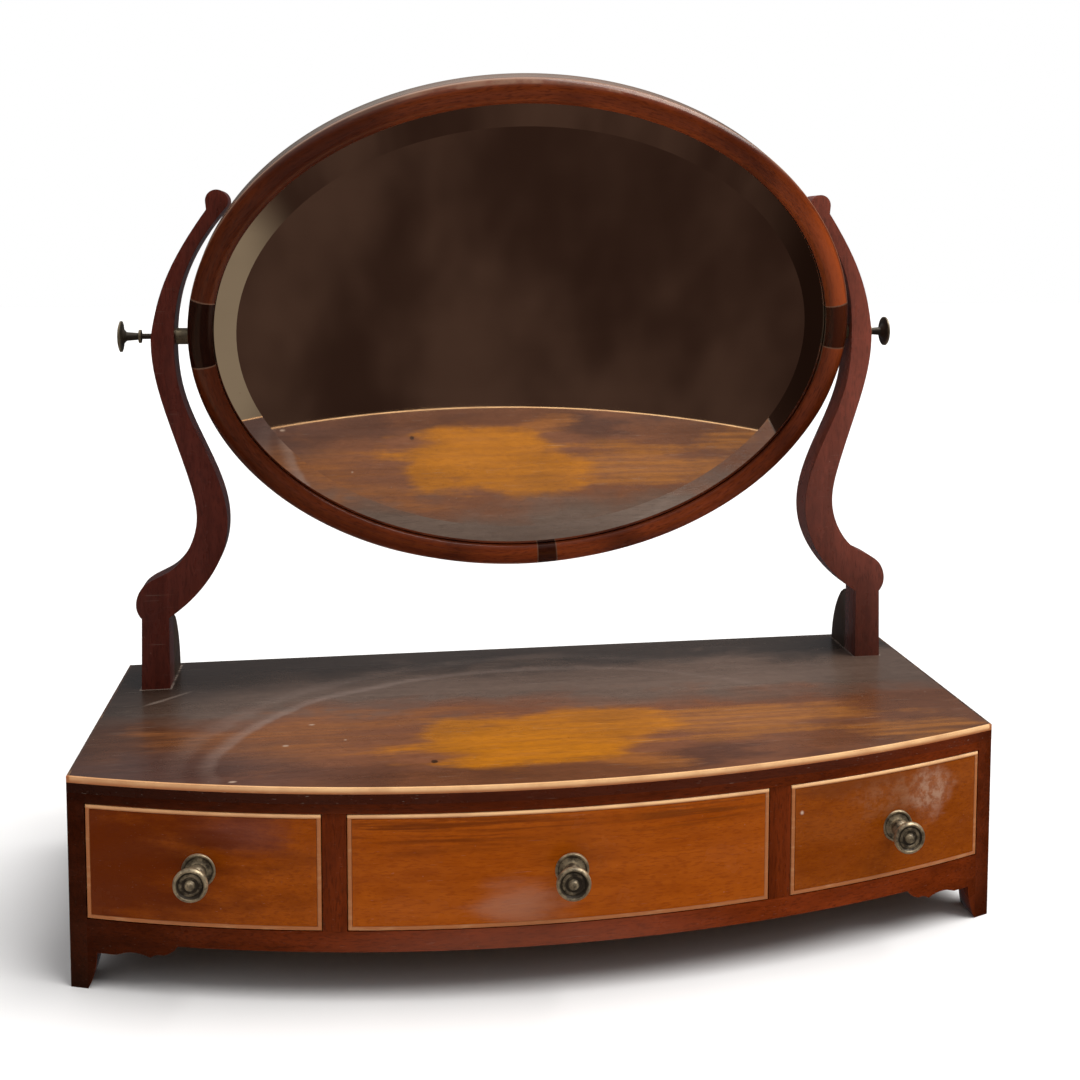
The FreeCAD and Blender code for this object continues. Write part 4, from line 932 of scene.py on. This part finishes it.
def top_paint(wood):
    """Polish from front to back, a painted shadow at the back left, streaks, the pale patch, painted arcs of
    light, wax, glue at the posts, and chips.
    """
    def paint(net, place, tone, figure):
        x, y, z = net.split(place)
        streaky = net.noise(net.place(place, (7, 75, 30)), 1.0, 5.0, 0.62)
        cloudy = net.noise(net.place(place, (16, 24, 20)), 1.0, 4.0, 0.55)
        wander = net.span(cloudy, 0.25, 0.75, -0.02, 0.02)
        depth = net.plus(y, wander)
        dark_front = scaled(wood.top_front, 0.72)
        colour = net.ramp(net.span_line(depth, -0.135, 0.135), (0.02, dark_front), (0.22, wood.top_front),
                          (0.46, wood.top_front), (0.6, wood.top_middle), (0.76, wood.top_middle),
                          (0.9, wood.top_back), (1.0, wood.top_back))
        side = net.span(net.plus(x, wander), -0.31, -0.15, 0.3, 1.0)
        colour = net.shade(colour, side)
        colour = net.shade(colour, net.span(net.plus(x, wander), 0.12, 0.27, 1.0, 0.6))
        # Painted shadow at the back left.
        back = net.times(net.span(y, 0.02, 0.09), net.span(x, -0.05, -0.25))
        colour = net.mix(net.times(back, 0.9), colour, (0.024, 0.014, 0.009))
        cloud = net.span(cloudy, 0.25, 0.75, -0.24, 0.24)
        pull = net.plus(net.span(streaky, 0.25, 0.75, -0.2, 0.2), cloud)
        wide = net.times(pull, 2.2)
        thread = net.span(net.noise(net.place(place, (9, 210, 60)), 1.0, 4.0, 0.6), 0.36, 0.62, 0.35, 1.0)
        left = net.blot(x, y, (-0.15, -0.03), (0.12, 0.036), 0.88, wide, STREAK)
        right = net.blot(x, y, (0.13, -0.047), (0.085, 0.034), 0.85, wide, STREAK)
        far_right = net.blot(x, y, (0.235, -0.083), (0.045, 0.022), 0.8, wide, STREAK)
        colour = net.mix(net.times(left, thread), colour, (0.3, 0.105, 0.025))
        right = net.times(net.larger(right, far_right), thread)
        colour = net.mix(right, colour, (0.38, 0.14, 0.022))
        corner = net.blot(x, y, (-0.26, -0.09), (0.1, 0.06), 0.8, pull, (0.2, 1.2))
        colour = net.mix(corner, colour, (0.07, 0.036, 0.03))
        front = net.blot(x, y, (0.105, -0.103), (0.075, 0.018), 0.75, wide, (0.3, 1.2))
        front_left = net.blot(x, y, (-0.14, -0.108), (0.11, 0.02), 0.6, wide, (0.3, 1.2))
        colour = net.mix(net.larger(front, front_left), colour, (0.085, 0.034, 0.021))
        patch = net.blot(x, y, (-0.014, -0.063), (0.09, 0.044), 1.0, pull, (0.7, 1.14))
        lip = net.blot(x, y, (0.048, -0.106), (0.034, 0.014), 0.8, wide, (0.3, 1.2))
        colour = net.mix(lip, colour, (0.36, 0.13, 0.03))
        lobes = (((-0.06, -0.044), (0.03, 0.032)), ((0.036, -0.041), (0.052, 0.035)))
        for centre, radii in lobes:
            patch = net.larger(patch, net.blot(x, y, centre, radii, 0.95, pull, (0.7, 1.2)))
        faded = net.mix(net.span(cloudy, 0.35, 0.65), wood.top_faded, scaled(wood.top_faded, 0.8))
        patch = net.times(patch, net.span(thread, 0.35, 0.8, 0.86, 1.0))
        colour = net.mix(patch, colour, faded)
        # Painted arcs of light thrown by the mirror's bevel, fading towards the right and the front.
        rings = (((0.0, -0.08), (0.216, 0.163), (0.955, 0.98, 0.985, 1.035), 0.4),
                 ((0.005, -0.08), (0.242, 0.19), (0.95, 0.98, 0.99, 1.05), 0.15))
        fade = net.ramp(net.span_line(x, -0.22, 0.2), (0.0, 1.0), (0.4, 0.8), (0.75, 0.4), (1.0, 0.0))
        fade = net.times(fade, net.span(y, -0.1, -0.02, 0.25, 1.0))
        unsteady = net.times(cloud, 0.06)
        for centre, radii, (start, full, keep, end), strength in rings:
            inside = net.blot(x, y, centre, radii, 1.0, unsteady, (start, full))
            outside = net.blot(x, y, centre, radii, 1.0, unsteady, (keep, end))
            ring = net.times(net.less(outside, inside), fade)
            colour = net.mix(net.times(ring, strength), colour, (0.36, 0.27, 0.23))
        slanting = net.math("MULTIPLY_ADD", x, WAX_SLANT, y)
        wax = net.blot(x, slanting, WAX_CENTRE, (0.02, 0.0035), 0.5, pull, (0.3, 1.1))
        foot_x = net.size_of(net.less(net.size_of(x), POST_FOOT[0]))
        foot_y = net.size_of(net.less(y, POST_FOOT[1]))
        off_foot = net.larger(net.less(foot_x, POST_FOOT_HALF[0]), net.less(foot_y, POST_FOOT_HALF[1]))
        glue = net.span(off_foot, 0.0008, 0.002, 0.75, 0.0)
        glue = net.times(glue, net.span(thread, 0.35, 0.9, 0.2, 1.0))
        colour = net.mix(net.larger(wax, glue), colour, (0.3, 0.24, 0.2))
        for centre, radii in CHIPS:
            chip = net.blot(x, y, centre, radii, 0.7, pull, (0.4, 1.2))
            colour = net.mix(chip, colour, (0.55, 0.4, 0.3))
        spot = net.blot(x, y, (-0.077, -0.091), (0.0022, 0.0028), 0.9)
        colour = net.mix(spot, colour, (0.03, 0.012, 0.005))
        colour = net.shade(colour, tone)
        edge = net.span(z, 0.1318, 0.1328, 1.0, 0.0)
        middle = between(wood.carcase_dark, wood.carcase_light, 0.4)
        bare = carcase_paint(net, place, net.shade(tone, middle), figure)
        return net.mix(edge, colour, bare)
    return paint


class MakeTop(Maker):
    """Makes the top board with its faded patch, and its inlaid line"""
    bl_idname = "toilet.make_top"
    bl_label = "Top"

    def execute(self, context):
        wood = self.wood
        finish = mahogany("Top Mahogany", (0.62, 0.58, 0.55), (1.1, 1.1, 1.1), "X", 1.8, gloss=0.22,
                          rubbed=(0.3, 0.12, 0.05), paint=top_paint(wood), specks=0.5, sheen=0.25,
                          polish=(0.08, 0.2))
        dress("top_board", finish)
        line = boxwood("Boxwood Line", wood.boxwood, wood.boxwood_soiled)
        board("top_stringing", line, "boxwood", self.shape.arris,
              lambda middle, edge: middle.z > TOP_ARRIS and middle.y < 0.13)
        for drawer in DRAWERS:
            board(f"{drawer}_drawer_stringing", line, "boxwood", self.shape.arris,
                  lambda middle, edge: edge.link_faces[0].normal.y + edge.link_faces[1].normal.y < -0.7)
        return {"FINISHED"}


def carcase_paint(net, place, colour, figure):
    """Painted light and shade on the carcase: darkest at the left and darker at the right end, a painted shadow
    along the rail under the top, painted shade low down, and a painted sheen across the middle of the apron.
    """
    x, _, z = net.split(place)
    # Painted shade at the left and at the right end, painted light between.
    lit = net.ramp(net.span_line(x, -0.3, 0.3), (0.0, 0.2), (0.12, 0.36), (0.35, 0.64), (0.55, 0.85),
                     (0.96, 0.72), (1.0, 0.42))
    colour = net.shade(colour, lit)
    # A painted shadow along the rail under the top.
    rail = net.times(net.span(z, 0.112, 0.12, 0.0, 0.55), net.span(x, 0.28, 0.15))
    colour = net.mix(rail, colour, (0.012, 0.002, 0.0005))
    # Painted shade low down.
    colour = net.shade(colour, net.span(z, 0.0, 0.04, 0.6, 1.0))
    # A painted sheen across the middle of the apron.
    apron_sheen = net.blot(x, z, (-0.02, 0.032), (0.13, 0.022), 0.3, 0.0, (0.2, 1.2))
    return net.mix(apron_sheen, colour, (0.24, 0.095, 0.065))


class MakeCarcase(Maker):
    """Makes the rail, ends, apron and partitions with worn corners, and finishes the boards inside"""
    bl_idname = "toilet.make_carcase"
    bl_label = "Carcase"

    def execute(self, context):
        wood, width = self.wood, self.shape.arris

        def finish(name, share, along, contrast, shift):
            return mahogany(f"{name} Mahogany", scaled(wood.carcase_dark, share),
                            scaled(wood.carcase_light, share), along, contrast, shift=shift,
                            paint=carcase_paint, specks=0.12, sheen=0.06)

        level = finish("Carcase", 1.0, "X", 1.7, (0, 0, 0))
        upright = finish("Upright", 1.0, "Z", 1.7, (1, 2, 0))
        shaded = finish("Shaded", 0.7, "Z", 1.7, (1, 2, 0))
        # The ends are painted darker than the front, a painted shade.
        end = finish("End", 0.8, "Y", 2.0, (2, 0, 1))
        board("top_rail", level, "mahogany_dark", width * 0.5,
              lambda middle, edge: middle.z < 0.1175 and middle.y < -0.07)
        board("front_apron", level, "mahogany_dark", width,
              lambda middle, edge: middle.z < 0.04 and abs(middle.x) < 0.2885)
        for side, sign in SIDES:
            board(f"partition_{side}", upright if sign < 0 else shaded, "mahogany_dark", width * 0.6,
                  lambda middle, edge: middle.y < -0.1 and 0.046 < middle.z < 0.116)
            board(f"side_{side}", end, "mahogany_dark", width,
                  lambda middle, edge: middle.z < 0.12 and abs(middle.x) > 0.2999 or middle.z < 0.03)
        pine = softwood("Bare Pine", wood.pine)
        grimy = softwood("Grimy Pine", scaled(wood.pine, 0.3))
        inside = ["back_panel", "kickers", "drawer_stops"]
        inside += [f"{drawer}_drawer_{part}" for drawer in DRAWERS
                   for part in ("side_left", "side_right", "bottom", "back")]
        for node in inside:
            dress(node, pine)
        for node in ("bottom_board", "foot_blocks"):
            dress(node, grimy)
        return {"FINISHED"}


# How light each drawer front is, as a share of the wood's own colours.
FRONT_DEPTHS = {"left": 0.85, "centre": 0.94, "right": 0.66}
# On the left front, the purple-grey spot near the top is a painted reflection; on the centre front, the pale
# pinkish spot low down is a painted sheen.
FRONT_MARKS = {
    "left": (((-0.195, 0.104), (0.036, 0.015), 0.5, (0.09, 0.042, 0.045)),
             ((-0.285, 0.08), (0.12, 0.08), 0.9, (0.1, 0.014, 0.001))),
    "centre": (((-0.028, 0.058), (0.03, 0.016), 0.42, (0.36, 0.19, 0.13)),
               ((-0.09, 0.107), (0.11, 0.014), 0.8, (0.12, 0.022, 0.002)),
               ((0.085, 0.108), (0.06, 0.012), 0.7, (0.13, 0.028, 0.003))),
    "right": (((0.249, 0.097), (0.018, 0.02), 0.55, (0.5, 0.33, 0.24)),
              ((0.225, 0.1), (0.045, 0.018), 0.35, (0.33, 0.17, 0.09)),
              ((0.1535, 0.098), (0.0016, 0.0016), 0.8, (0.6, 0.45, 0.35)),
              ((0.18, 0.113), (0.05, 0.01), 0.5, (0.14, 0.035, 0.008)))}


def front_paint(drawer):
    """Each drawer front's marks from FRONT_MARKS: place, radii, strength and colour; stains and blooms, a painted
    reflection and a painted sheen.
    """
    def paint(net, place, colour, figure):
        x, _, z = net.split(place)
        rough = net.noise(net.place(place, (16, 60, 90)), 1.0, 5.0, 0.62)
        mottle = net.noise(place, 120.0, 5.0, 0.7)
        threads = net.noise(net.place(place, (11, 40, 330), turn=(0, 0.06, 0)), 1.0, 4.0, 0.6)
        pull = net.span(rough, 0.25, 0.75, -0.28, 0.28)
        for number, (centre, radii, strength, tint) in enumerate(FRONT_MARKS[drawer]):
            spot = net.blot(x, z, centre, radii, strength, pull, (0.25, 1.25))
            if drawer == "right" and number < 2:
                spot = net.times(spot, net.span(mottle, 0.4, 0.62, 0.2, 1.0))
            if drawer == "centre" and number > 0:
                spot = net.times(spot, net.span(threads, 0.44, 0.6))
            colour = net.mix(spot, colour, tint)
        return colour
    return paint


class MakeDrawerFronts(Maker):
    """Makes the three bowed drawer fronts"""
    bl_idname = "toilet.make_drawer_fronts"
    bl_label = "Drawer fronts"

    def execute(self, context):
        wood = self.wood
        for number, drawer in enumerate(DRAWERS):
            depth = FRONT_DEPTHS[drawer]
            finish = mahogany(f"{drawer.title()} Front Mahogany", scaled(wood.front_dark, depth),
                              scaled(wood.front_light, depth), "X", 1.9, gloss=0.17,
                              shift=(0.7 * number, 0.3 * number, 0.2), paint=front_paint(drawer),
                              specks=0.14, sheen=0.1)
            dress(f"{drawer}_drawer_front", finish)
        return {"FINISHED"}


class MakeKnobs(Maker):
    """Makes the turned brass knobs with their roses and studs"""
    bl_idname = "toilet.make_knobs"
    bl_label = "Knobs"

    def execute(self, context):
        metal = self.metal
        brass = aged_brass("Knob Brass", metal.brass_dark, metal.brass_bright)
        for drawer in DRAWERS:
            for part in ("rose", "knob"):
                node = f"{drawer}_drawer_{part}"
                mesh = turned_copy(node, brass, facing_front=part == "knob")
                link_piece(f"{drawer}_{part}_brass", mesh, f"{drawer}_drawer", "brass", node)
            dress(f"{drawer}_drawer_knob_bolt", brass)
        return {"FINISHED"}


def post_paint(net, place, colour, figure):
    """Darkens the right post towards the case; the left one keeps its colour."""
    x, _, z = net.split(place)
    low = net.span(z, 0.14, 0.26, 0.6, 1.0)
    low = net.larger(low, net.span(x, 0.0, -0.01))
    return net.shade(colour, low)


ABOVE_CASE = 0.1335
# The right post is painted lighter than the left, a painted light, and hazier, a painted sheen.
POST_PAINTED_LIGHT = {"left": 1.0, "right": 2.1}
POST_PAINTED_SHEEN = {"left": (0.0, 0.0, 0.0), "right": (0.03, 0.02, 0.014)}


def level_in_depth(edge):
    """Whether an edge keeps to one depth, as those round a post's front and back do."""
    return abs(edge.verts[0].co.y - edge.verts[1].co.y) < 0.001


class MakePosts(Maker):
    """Makes the serpentine posts with rounded edges, and the braces behind them"""
    bl_idname = "toilet.make_posts"
    bl_label = "Posts"

    def execute(self, context):
        wood, width = self.wood, self.shape.post_arris
        for side, sign in SIDES:
            # The right post's lift is painted light and its haze a painted sheen.
            dark, light = ([POST_PAINTED_LIGHT[side] * part + pale for part, pale in zip(colour, POST_PAINTED_SHEEN[side])]
                           for colour in (wood.post_dark, wood.post_light))
            finish = mahogany(f"{side.title()} Post Mahogany", dark, light, "Z", 2.0, shift=(sign, 0, 0),
                              rubbed=scaled(light, 0.3), edge=0.8, gloss=0.22, sheen=0.25,
                              polish=(0.05, 0.2), paint=post_paint)
            board(f"post_{side}", finish, "mahogany_post", width,
                  lambda middle, edge: middle.z > ABOVE_CASE and level_in_depth(edge))
            dull = mahogany(f"{side.title()} Brace Mahogany", (0.03, 0.017, 0.01), (0.075, 0.045, 0.03),
                            "Z", 1.5, shift=(sign, 2, 0), gloss=0.35, sheen=0.15, polish=(0.0, 0.05))
            board(f"post_brace_{side}", dull, "mahogany_post", width * 0.6,
                  lambda middle, edge: middle.z > ABOVE_CASE and middle.y > 0.0975)
        return {"FINISHED"}


class MakeFrame(Maker):
    """Sweeps the oval frame's moulding in its six jointed pieces"""
    bl_idname = "toilet.make_frame"
    bl_label = "Oval frame"

    def execute(self, context):
        wood = self.wood
        tree, names = moulding_tree()
        # The third colour of each is the painted highlight along the frame's outer edge.
        long_piece = swept_mahogany("Frame Mahogany", wood.frame_dark, wood.frame_light, (0.42, 0.24, 0.15))
        block = swept_mahogany("Frame Block Mahogany", scaled(wood.frame_dark, 0.25),
                               scaled(wood.frame_light, 0.2), (0.1, 0.035, 0.015), 0.37)
        for node, start, end in JOINTS:
            material = block if "block" in node else long_piece
            mesh = frame_piece(node, start, end, self.shape, tree, names, material)
            link_piece(node.replace("frame", "moulding"), mesh, "mirror", "mahogany_frame", node)
        return {"FINISHED"}


class MakeGlass(Maker):
    """Finishes the bevelled mirror plate, its wedges and the backboard"""
    bl_idname = "toilet.make_glass"
    bl_label = "Glass and back"

    def execute(self, context):
        dress("mirror_glass", silvered_glass("Silvered Glass", self.metal.silver))
        dress("glass_wedges", softwood("Wedge Pine", self.wood.pine))
        dress("backboard", softwood("Backboard Pine", scaled(self.wood.pine, 0.7)))
        return {"FINISHED"}


class MakeThumbScrews(Maker):
    """Makes the turned thumb screws and the bosses that they screw into"""
    bl_idname = "toilet.make_thumb_screws"
    bl_label = "Thumb screws"

    def execute(self, context):
        metal = self.metal
        brass = aged_brass("Thumb Screw Brass", scaled(metal.brass_dark, 0.7),
                           scaled(metal.brass_bright, 0.4), 0.7)
        for side, _ in SIDES:
            screw, boss = f"thumb_screw_{side}", f"pivot_boss_{side}"
            link_piece(f"{screw}_brass", turned_copy(screw, brass), screw, "brass", screw)
            link_piece(f"{boss}_brass", turned_copy(boss, brass), "mirror", "brass", boss)
        return {"FINISHED"}


def islands(node):
    """The separate lumps of a CAD node, as lists of places, in an order that is the same each run."""
    work = merged(node)
    left, found = set(work.verts), []
    while left:
        grow, lump = [left.pop()], []
        while grow:
            vert = grow.pop()
            lump.append(vert.co.copy())
            for edge in vert.link_edges:
                other = edge.other_vert(vert)
                if other in left:
                    left.remove(other)
                    grow.append(other)
        found.append(sorted(lump, key=tuple))
    work.free()
    return sorted(found, key=lambda lump: tuple(lump[0]))


def slotted_screw(radius, depth):
    """A countersunk screw with a slot in its head, which faces up from the origin."""
    work = bmesh.new()
    sides, slot, slot_depth = 28, radius * 0.16, radius * 0.25
    rings = ((0.35, -depth), (0.42, -radius * 0.62), (0.97, -radius * 0.04), (0.9, 0))
    loops = []
    for share, height in rings:
        across = radius * share
        loops.append([work.verts.new((across * math.cos(math.tau * k / sides),
                                      across * math.sin(math.tau * k / sides), height))
                      for k in range(sides)])
    for low, high in zip(loops, loops[1:]):
        for k in range(sides):
            work.faces.new((low[k], low[(k + 1) % sides], high[(k + 1) % sides], high[k]))
    work.faces.new(reversed(loops[0]))
    work.faces.new(loops[-1])
    for side in (-1, 1):
        bmesh.ops.bisect_plane(work, geom=work.verts[:] + work.edges[:] + work.faces[:],
                               plane_co=(0, side * slot, 0), plane_no=(0, 1, 0))
    strip = [f for f in work.faces if f.normal.z > 0.99 or all(abs(v.co.z) < 1e-7 for v in f.verts)]
    strip = [f for f in strip if abs(f.calc_center_median().y) < slot * 0.9]
    sunk = bmesh.ops.extrude_face_region(work, geom=strip)
    bmesh.ops.translate(work, vec=(0, 0, -slot_depth),
                        verts=[g for g in sunk["geom"] if isinstance(g, bmesh.types.BMVert)])
    bmesh.ops.delete(work, geom=strip, context="FACES_ONLY")
    bmesh.ops.recalc_face_normals(work, faces=work.faces)
    mark_smooth(work)
    return plain_mesh(work, "slotted_screw")


class MakeScrews(Maker):
    """Sets the slotted screws of the backboard and of the posts"""
    bl_idname = "toilet.make_screws"
    bl_label = "Screws"

    def execute(self, context):
        steel = dull_steel("Screw Steel", self.metal.steel)
        tree, names = screw_tree()
        down = Vector((0, 0, -1))
        behind = to_mirror(self.shape).to_3x3() @ down
        for node, facing, seed in (("backboard_screws", behind, 3), ("post_screws", down, 8)):
            tops = []
            for lump in islands(node):
                centre = sum(lump, Vector()) / len(lump)
                spokes = [place - centre for place in lump]
                heights = [spoke.dot(facing) for spoke in spokes]
                rim = max((spoke - facing * height).length for spoke, height in zip(spokes, heights))
                high, low = max(heights), min(heights)
                tops.append((centre + facing * high, high - low, rim))
            points = bpy.data.meshes.new(node + "_points")
            points.from_pydata([top for top, _, _ in tops], [], [])
            facings = points.attributes.new("facing", "FLOAT_VECTOR", "POINT")
            for item in facings.data:
                item.vector = facing
            _, depth, rim = tops[0]
            screw = placed("screw", slotted_screw(rim, depth))
            mesh = grown(points, tree, names, {"Screw": screw, "Seed": seed, "Finish": steel})
            bpy.data.objects.remove(screw)
            name = node.replace("_screws", "_slotted_screws")
            link_piece(name, mesh, body_of_node(node), "steel_screw", node)
        return {"FINISHED"}


SENSOR_WIDTH = 36
CAMERA_SHIFT = (-0.0357, -0.1852)
NEAREST_SEEN = 0.01
FLOOR_HALF = 9.0


class MakeStage(Maker):
    """Sets the floor, the soft light, the surroundings and the camera"""
    bl_idname = "toilet.make_stage"
    bl_label = "Stage"

    def execute(self, context):
        settings = context.scene.toilet_stage
        self.make_floor(settings)
        self.make_camera(settings)
        self.make_surroundings()
        self.make_key(settings)
        context.scene.view_settings.view_transform = "Standard"
        return {"FINISHED"}

    def make_floor(self, settings):
        work = bmesh.new()
        bmesh.ops.create_grid(work, x_segments=12, y_segments=12, size=FLOOR_HALF)
        mesh = plain_mesh(work, "studio_floor")
        material, net, shader, place = new_material("Pale Floor", Roughness=0.9, Specular_IOR_Level=0.0)
        cloud = net.span(net.noise(place, 1.5, 2.0), 0.3, 0.7)
        net.wire(shader, Base_Color=net.mix(cloud, settings.floor, scaled(settings.floor, 0.99)))
        mesh.materials.append(material)
        floor = placed("studio_floor", mesh)
        floor.visible_glossy = False

    def make_camera(self, settings):
        yaw, pitch, roll = settings.camera_yaw, settings.camera_pitch, settings.camera_roll
        ahead = Vector((math.sin(yaw) * math.cos(pitch), math.cos(yaw) * math.cos(pitch), math.sin(pitch)))
        right = Vector((math.cos(yaw), -math.sin(yaw), 0))
        above = right.cross(ahead)
        across = right * math.cos(roll) + above * math.sin(roll)
        upward = above * math.cos(roll) - right * math.sin(roll)
        data = bpy.data.cameras.new("camera")
        data.sensor_width = SENSOR_WIDTH
        data.lens = settings.lens
        data.shift_x, data.shift_y = CAMERA_SHIFT
        data.clip_start = NEAREST_SEEN
        camera = placed("camera", data)
        axes = Matrix((across, upward, -ahead)).transposed().to_4x4()
        camera.matrix_world = Matrix.Translation(Vector(settings.camera_place)) @ axes
        bpy.context.scene.camera = camera

    def make_surroundings(self):
        """White for the camera, a dim warm room for what the polish and the mirror reflect."""
        world = bpy.data.worlds.new("surroundings")
        world.use_nodes = True
        bpy.context.scene.world = world
        net = Net(world.node_tree)
        plain = world.node_tree.nodes["Background"]
        facing = net.add("ShaderNodeTexCoord").outputs["Generated"]
        x, y, z = net.split(facing)
        drift = net.noise(net.place(facing, (9, 9, 2.5)), 1.0, 3.0)
        room = net.mix(net.span(drift, 0.35, 0.68), (0.028, 0.0125, 0.008), (0.062, 0.031, 0.02))
        room = net.mix(net.span(x, 0.33, 0.42), room, (0.012, 0.005, 0.003))
        under = net.span(z, -0.5, -0.44, 1.0, 0.0)
        left = net.times(net.span(x, -0.2, -0.13, 1.0, 0.0), under)
        room = net.mix(left, room, (0.23, 0.165, 0.105))
        behind = net.span(y, -0.2, 0.6)
        low = net.mix(behind, room, (0.07, 0.069, 0.074))
        sky = net.mix(net.span(z, 0.15, 0.9), low, (0.75, 0.74, 0.74))
        seen = net.add("ShaderNodeLightPath").outputs["Is Camera Ray"]
        net.feed(plain.inputs["Color"], net.mix(seen, sky, (1.0, 1.0, 1.0)))
        plain.inputs["Strength"].default_value = 1.0

    def make_key(self, settings):
        """One very soft light from above, the right and a little in front."""
        data = bpy.data.lights.new("key", "SUN")
        data.energy = settings.key_power
        data.angle = settings.key_softness
        data.color = (1.0, 0.985, 0.965)
        light = placed("key", data)
        light.rotation_euler = Vector(settings.key_from).to_track_quat("Z", "Y").to_euler()


MAKERS = (MakeStage, MakeTop, MakeCarcase, MakeDrawerFronts, MakeKnobs, MakePosts, MakeFrame, MakeGlass,
          MakeThumbScrews, MakeScrews)


class ToiletMirrorPanel(bpy.types.Panel):
    """Lists the makers in the sidebar of the 3D view."""
    bl_idname = "VIEW3D_PT_toilet_mirror"
    bl_label = "Toilet Mirror"
    bl_space_type = "VIEW_3D"
    bl_region_type = "UI"
    bl_category = "Toilet Mirror"

    def draw(self, context):
        for maker in MAKERS:
            self.layout.operator(maker.bl_idname)
        for name in SETTINGS:
            box = self.layout.box()
            for title in getattr(context.scene, name).bl_rna.properties.keys():
                if title not in ("rna_type", "name"):
                    box.prop(getattr(context.scene, name), title)


SETTINGS = {
    "toilet_shape": ShapeSettings, "toilet_wood": WoodSettings,
    "toilet_metal": MetalSettings, "toilet_stage": StageSettings}


def register():
    for settings in SETTINGS.values():
        bpy.utils.register_class(settings)
    for name, settings in SETTINGS.items():
        setattr(bpy.types.Scene, name, bpy.props.PointerProperty(type=settings))
    for maker in MAKERS:
        bpy.utils.register_class(maker)
    bpy.utils.register_class(ToiletMirrorPanel)


def unregister():
    bpy.utils.unregister_class(ToiletMirrorPanel)
    for maker in reversed(MAKERS):
        bpy.utils.unregister_class(maker)
    for name in SETTINGS:
        delattr(bpy.types.Scene, name)
    for settings in SETTINGS.values():
        bpy.utils.unregister_class(settings)


def main():
    register()
    for maker in MAKERS:
        group, _, action = maker.bl_idname.partition(".")
        getattr(getattr(bpy.ops, group), action)()


if __name__ == "__main__":
    main()
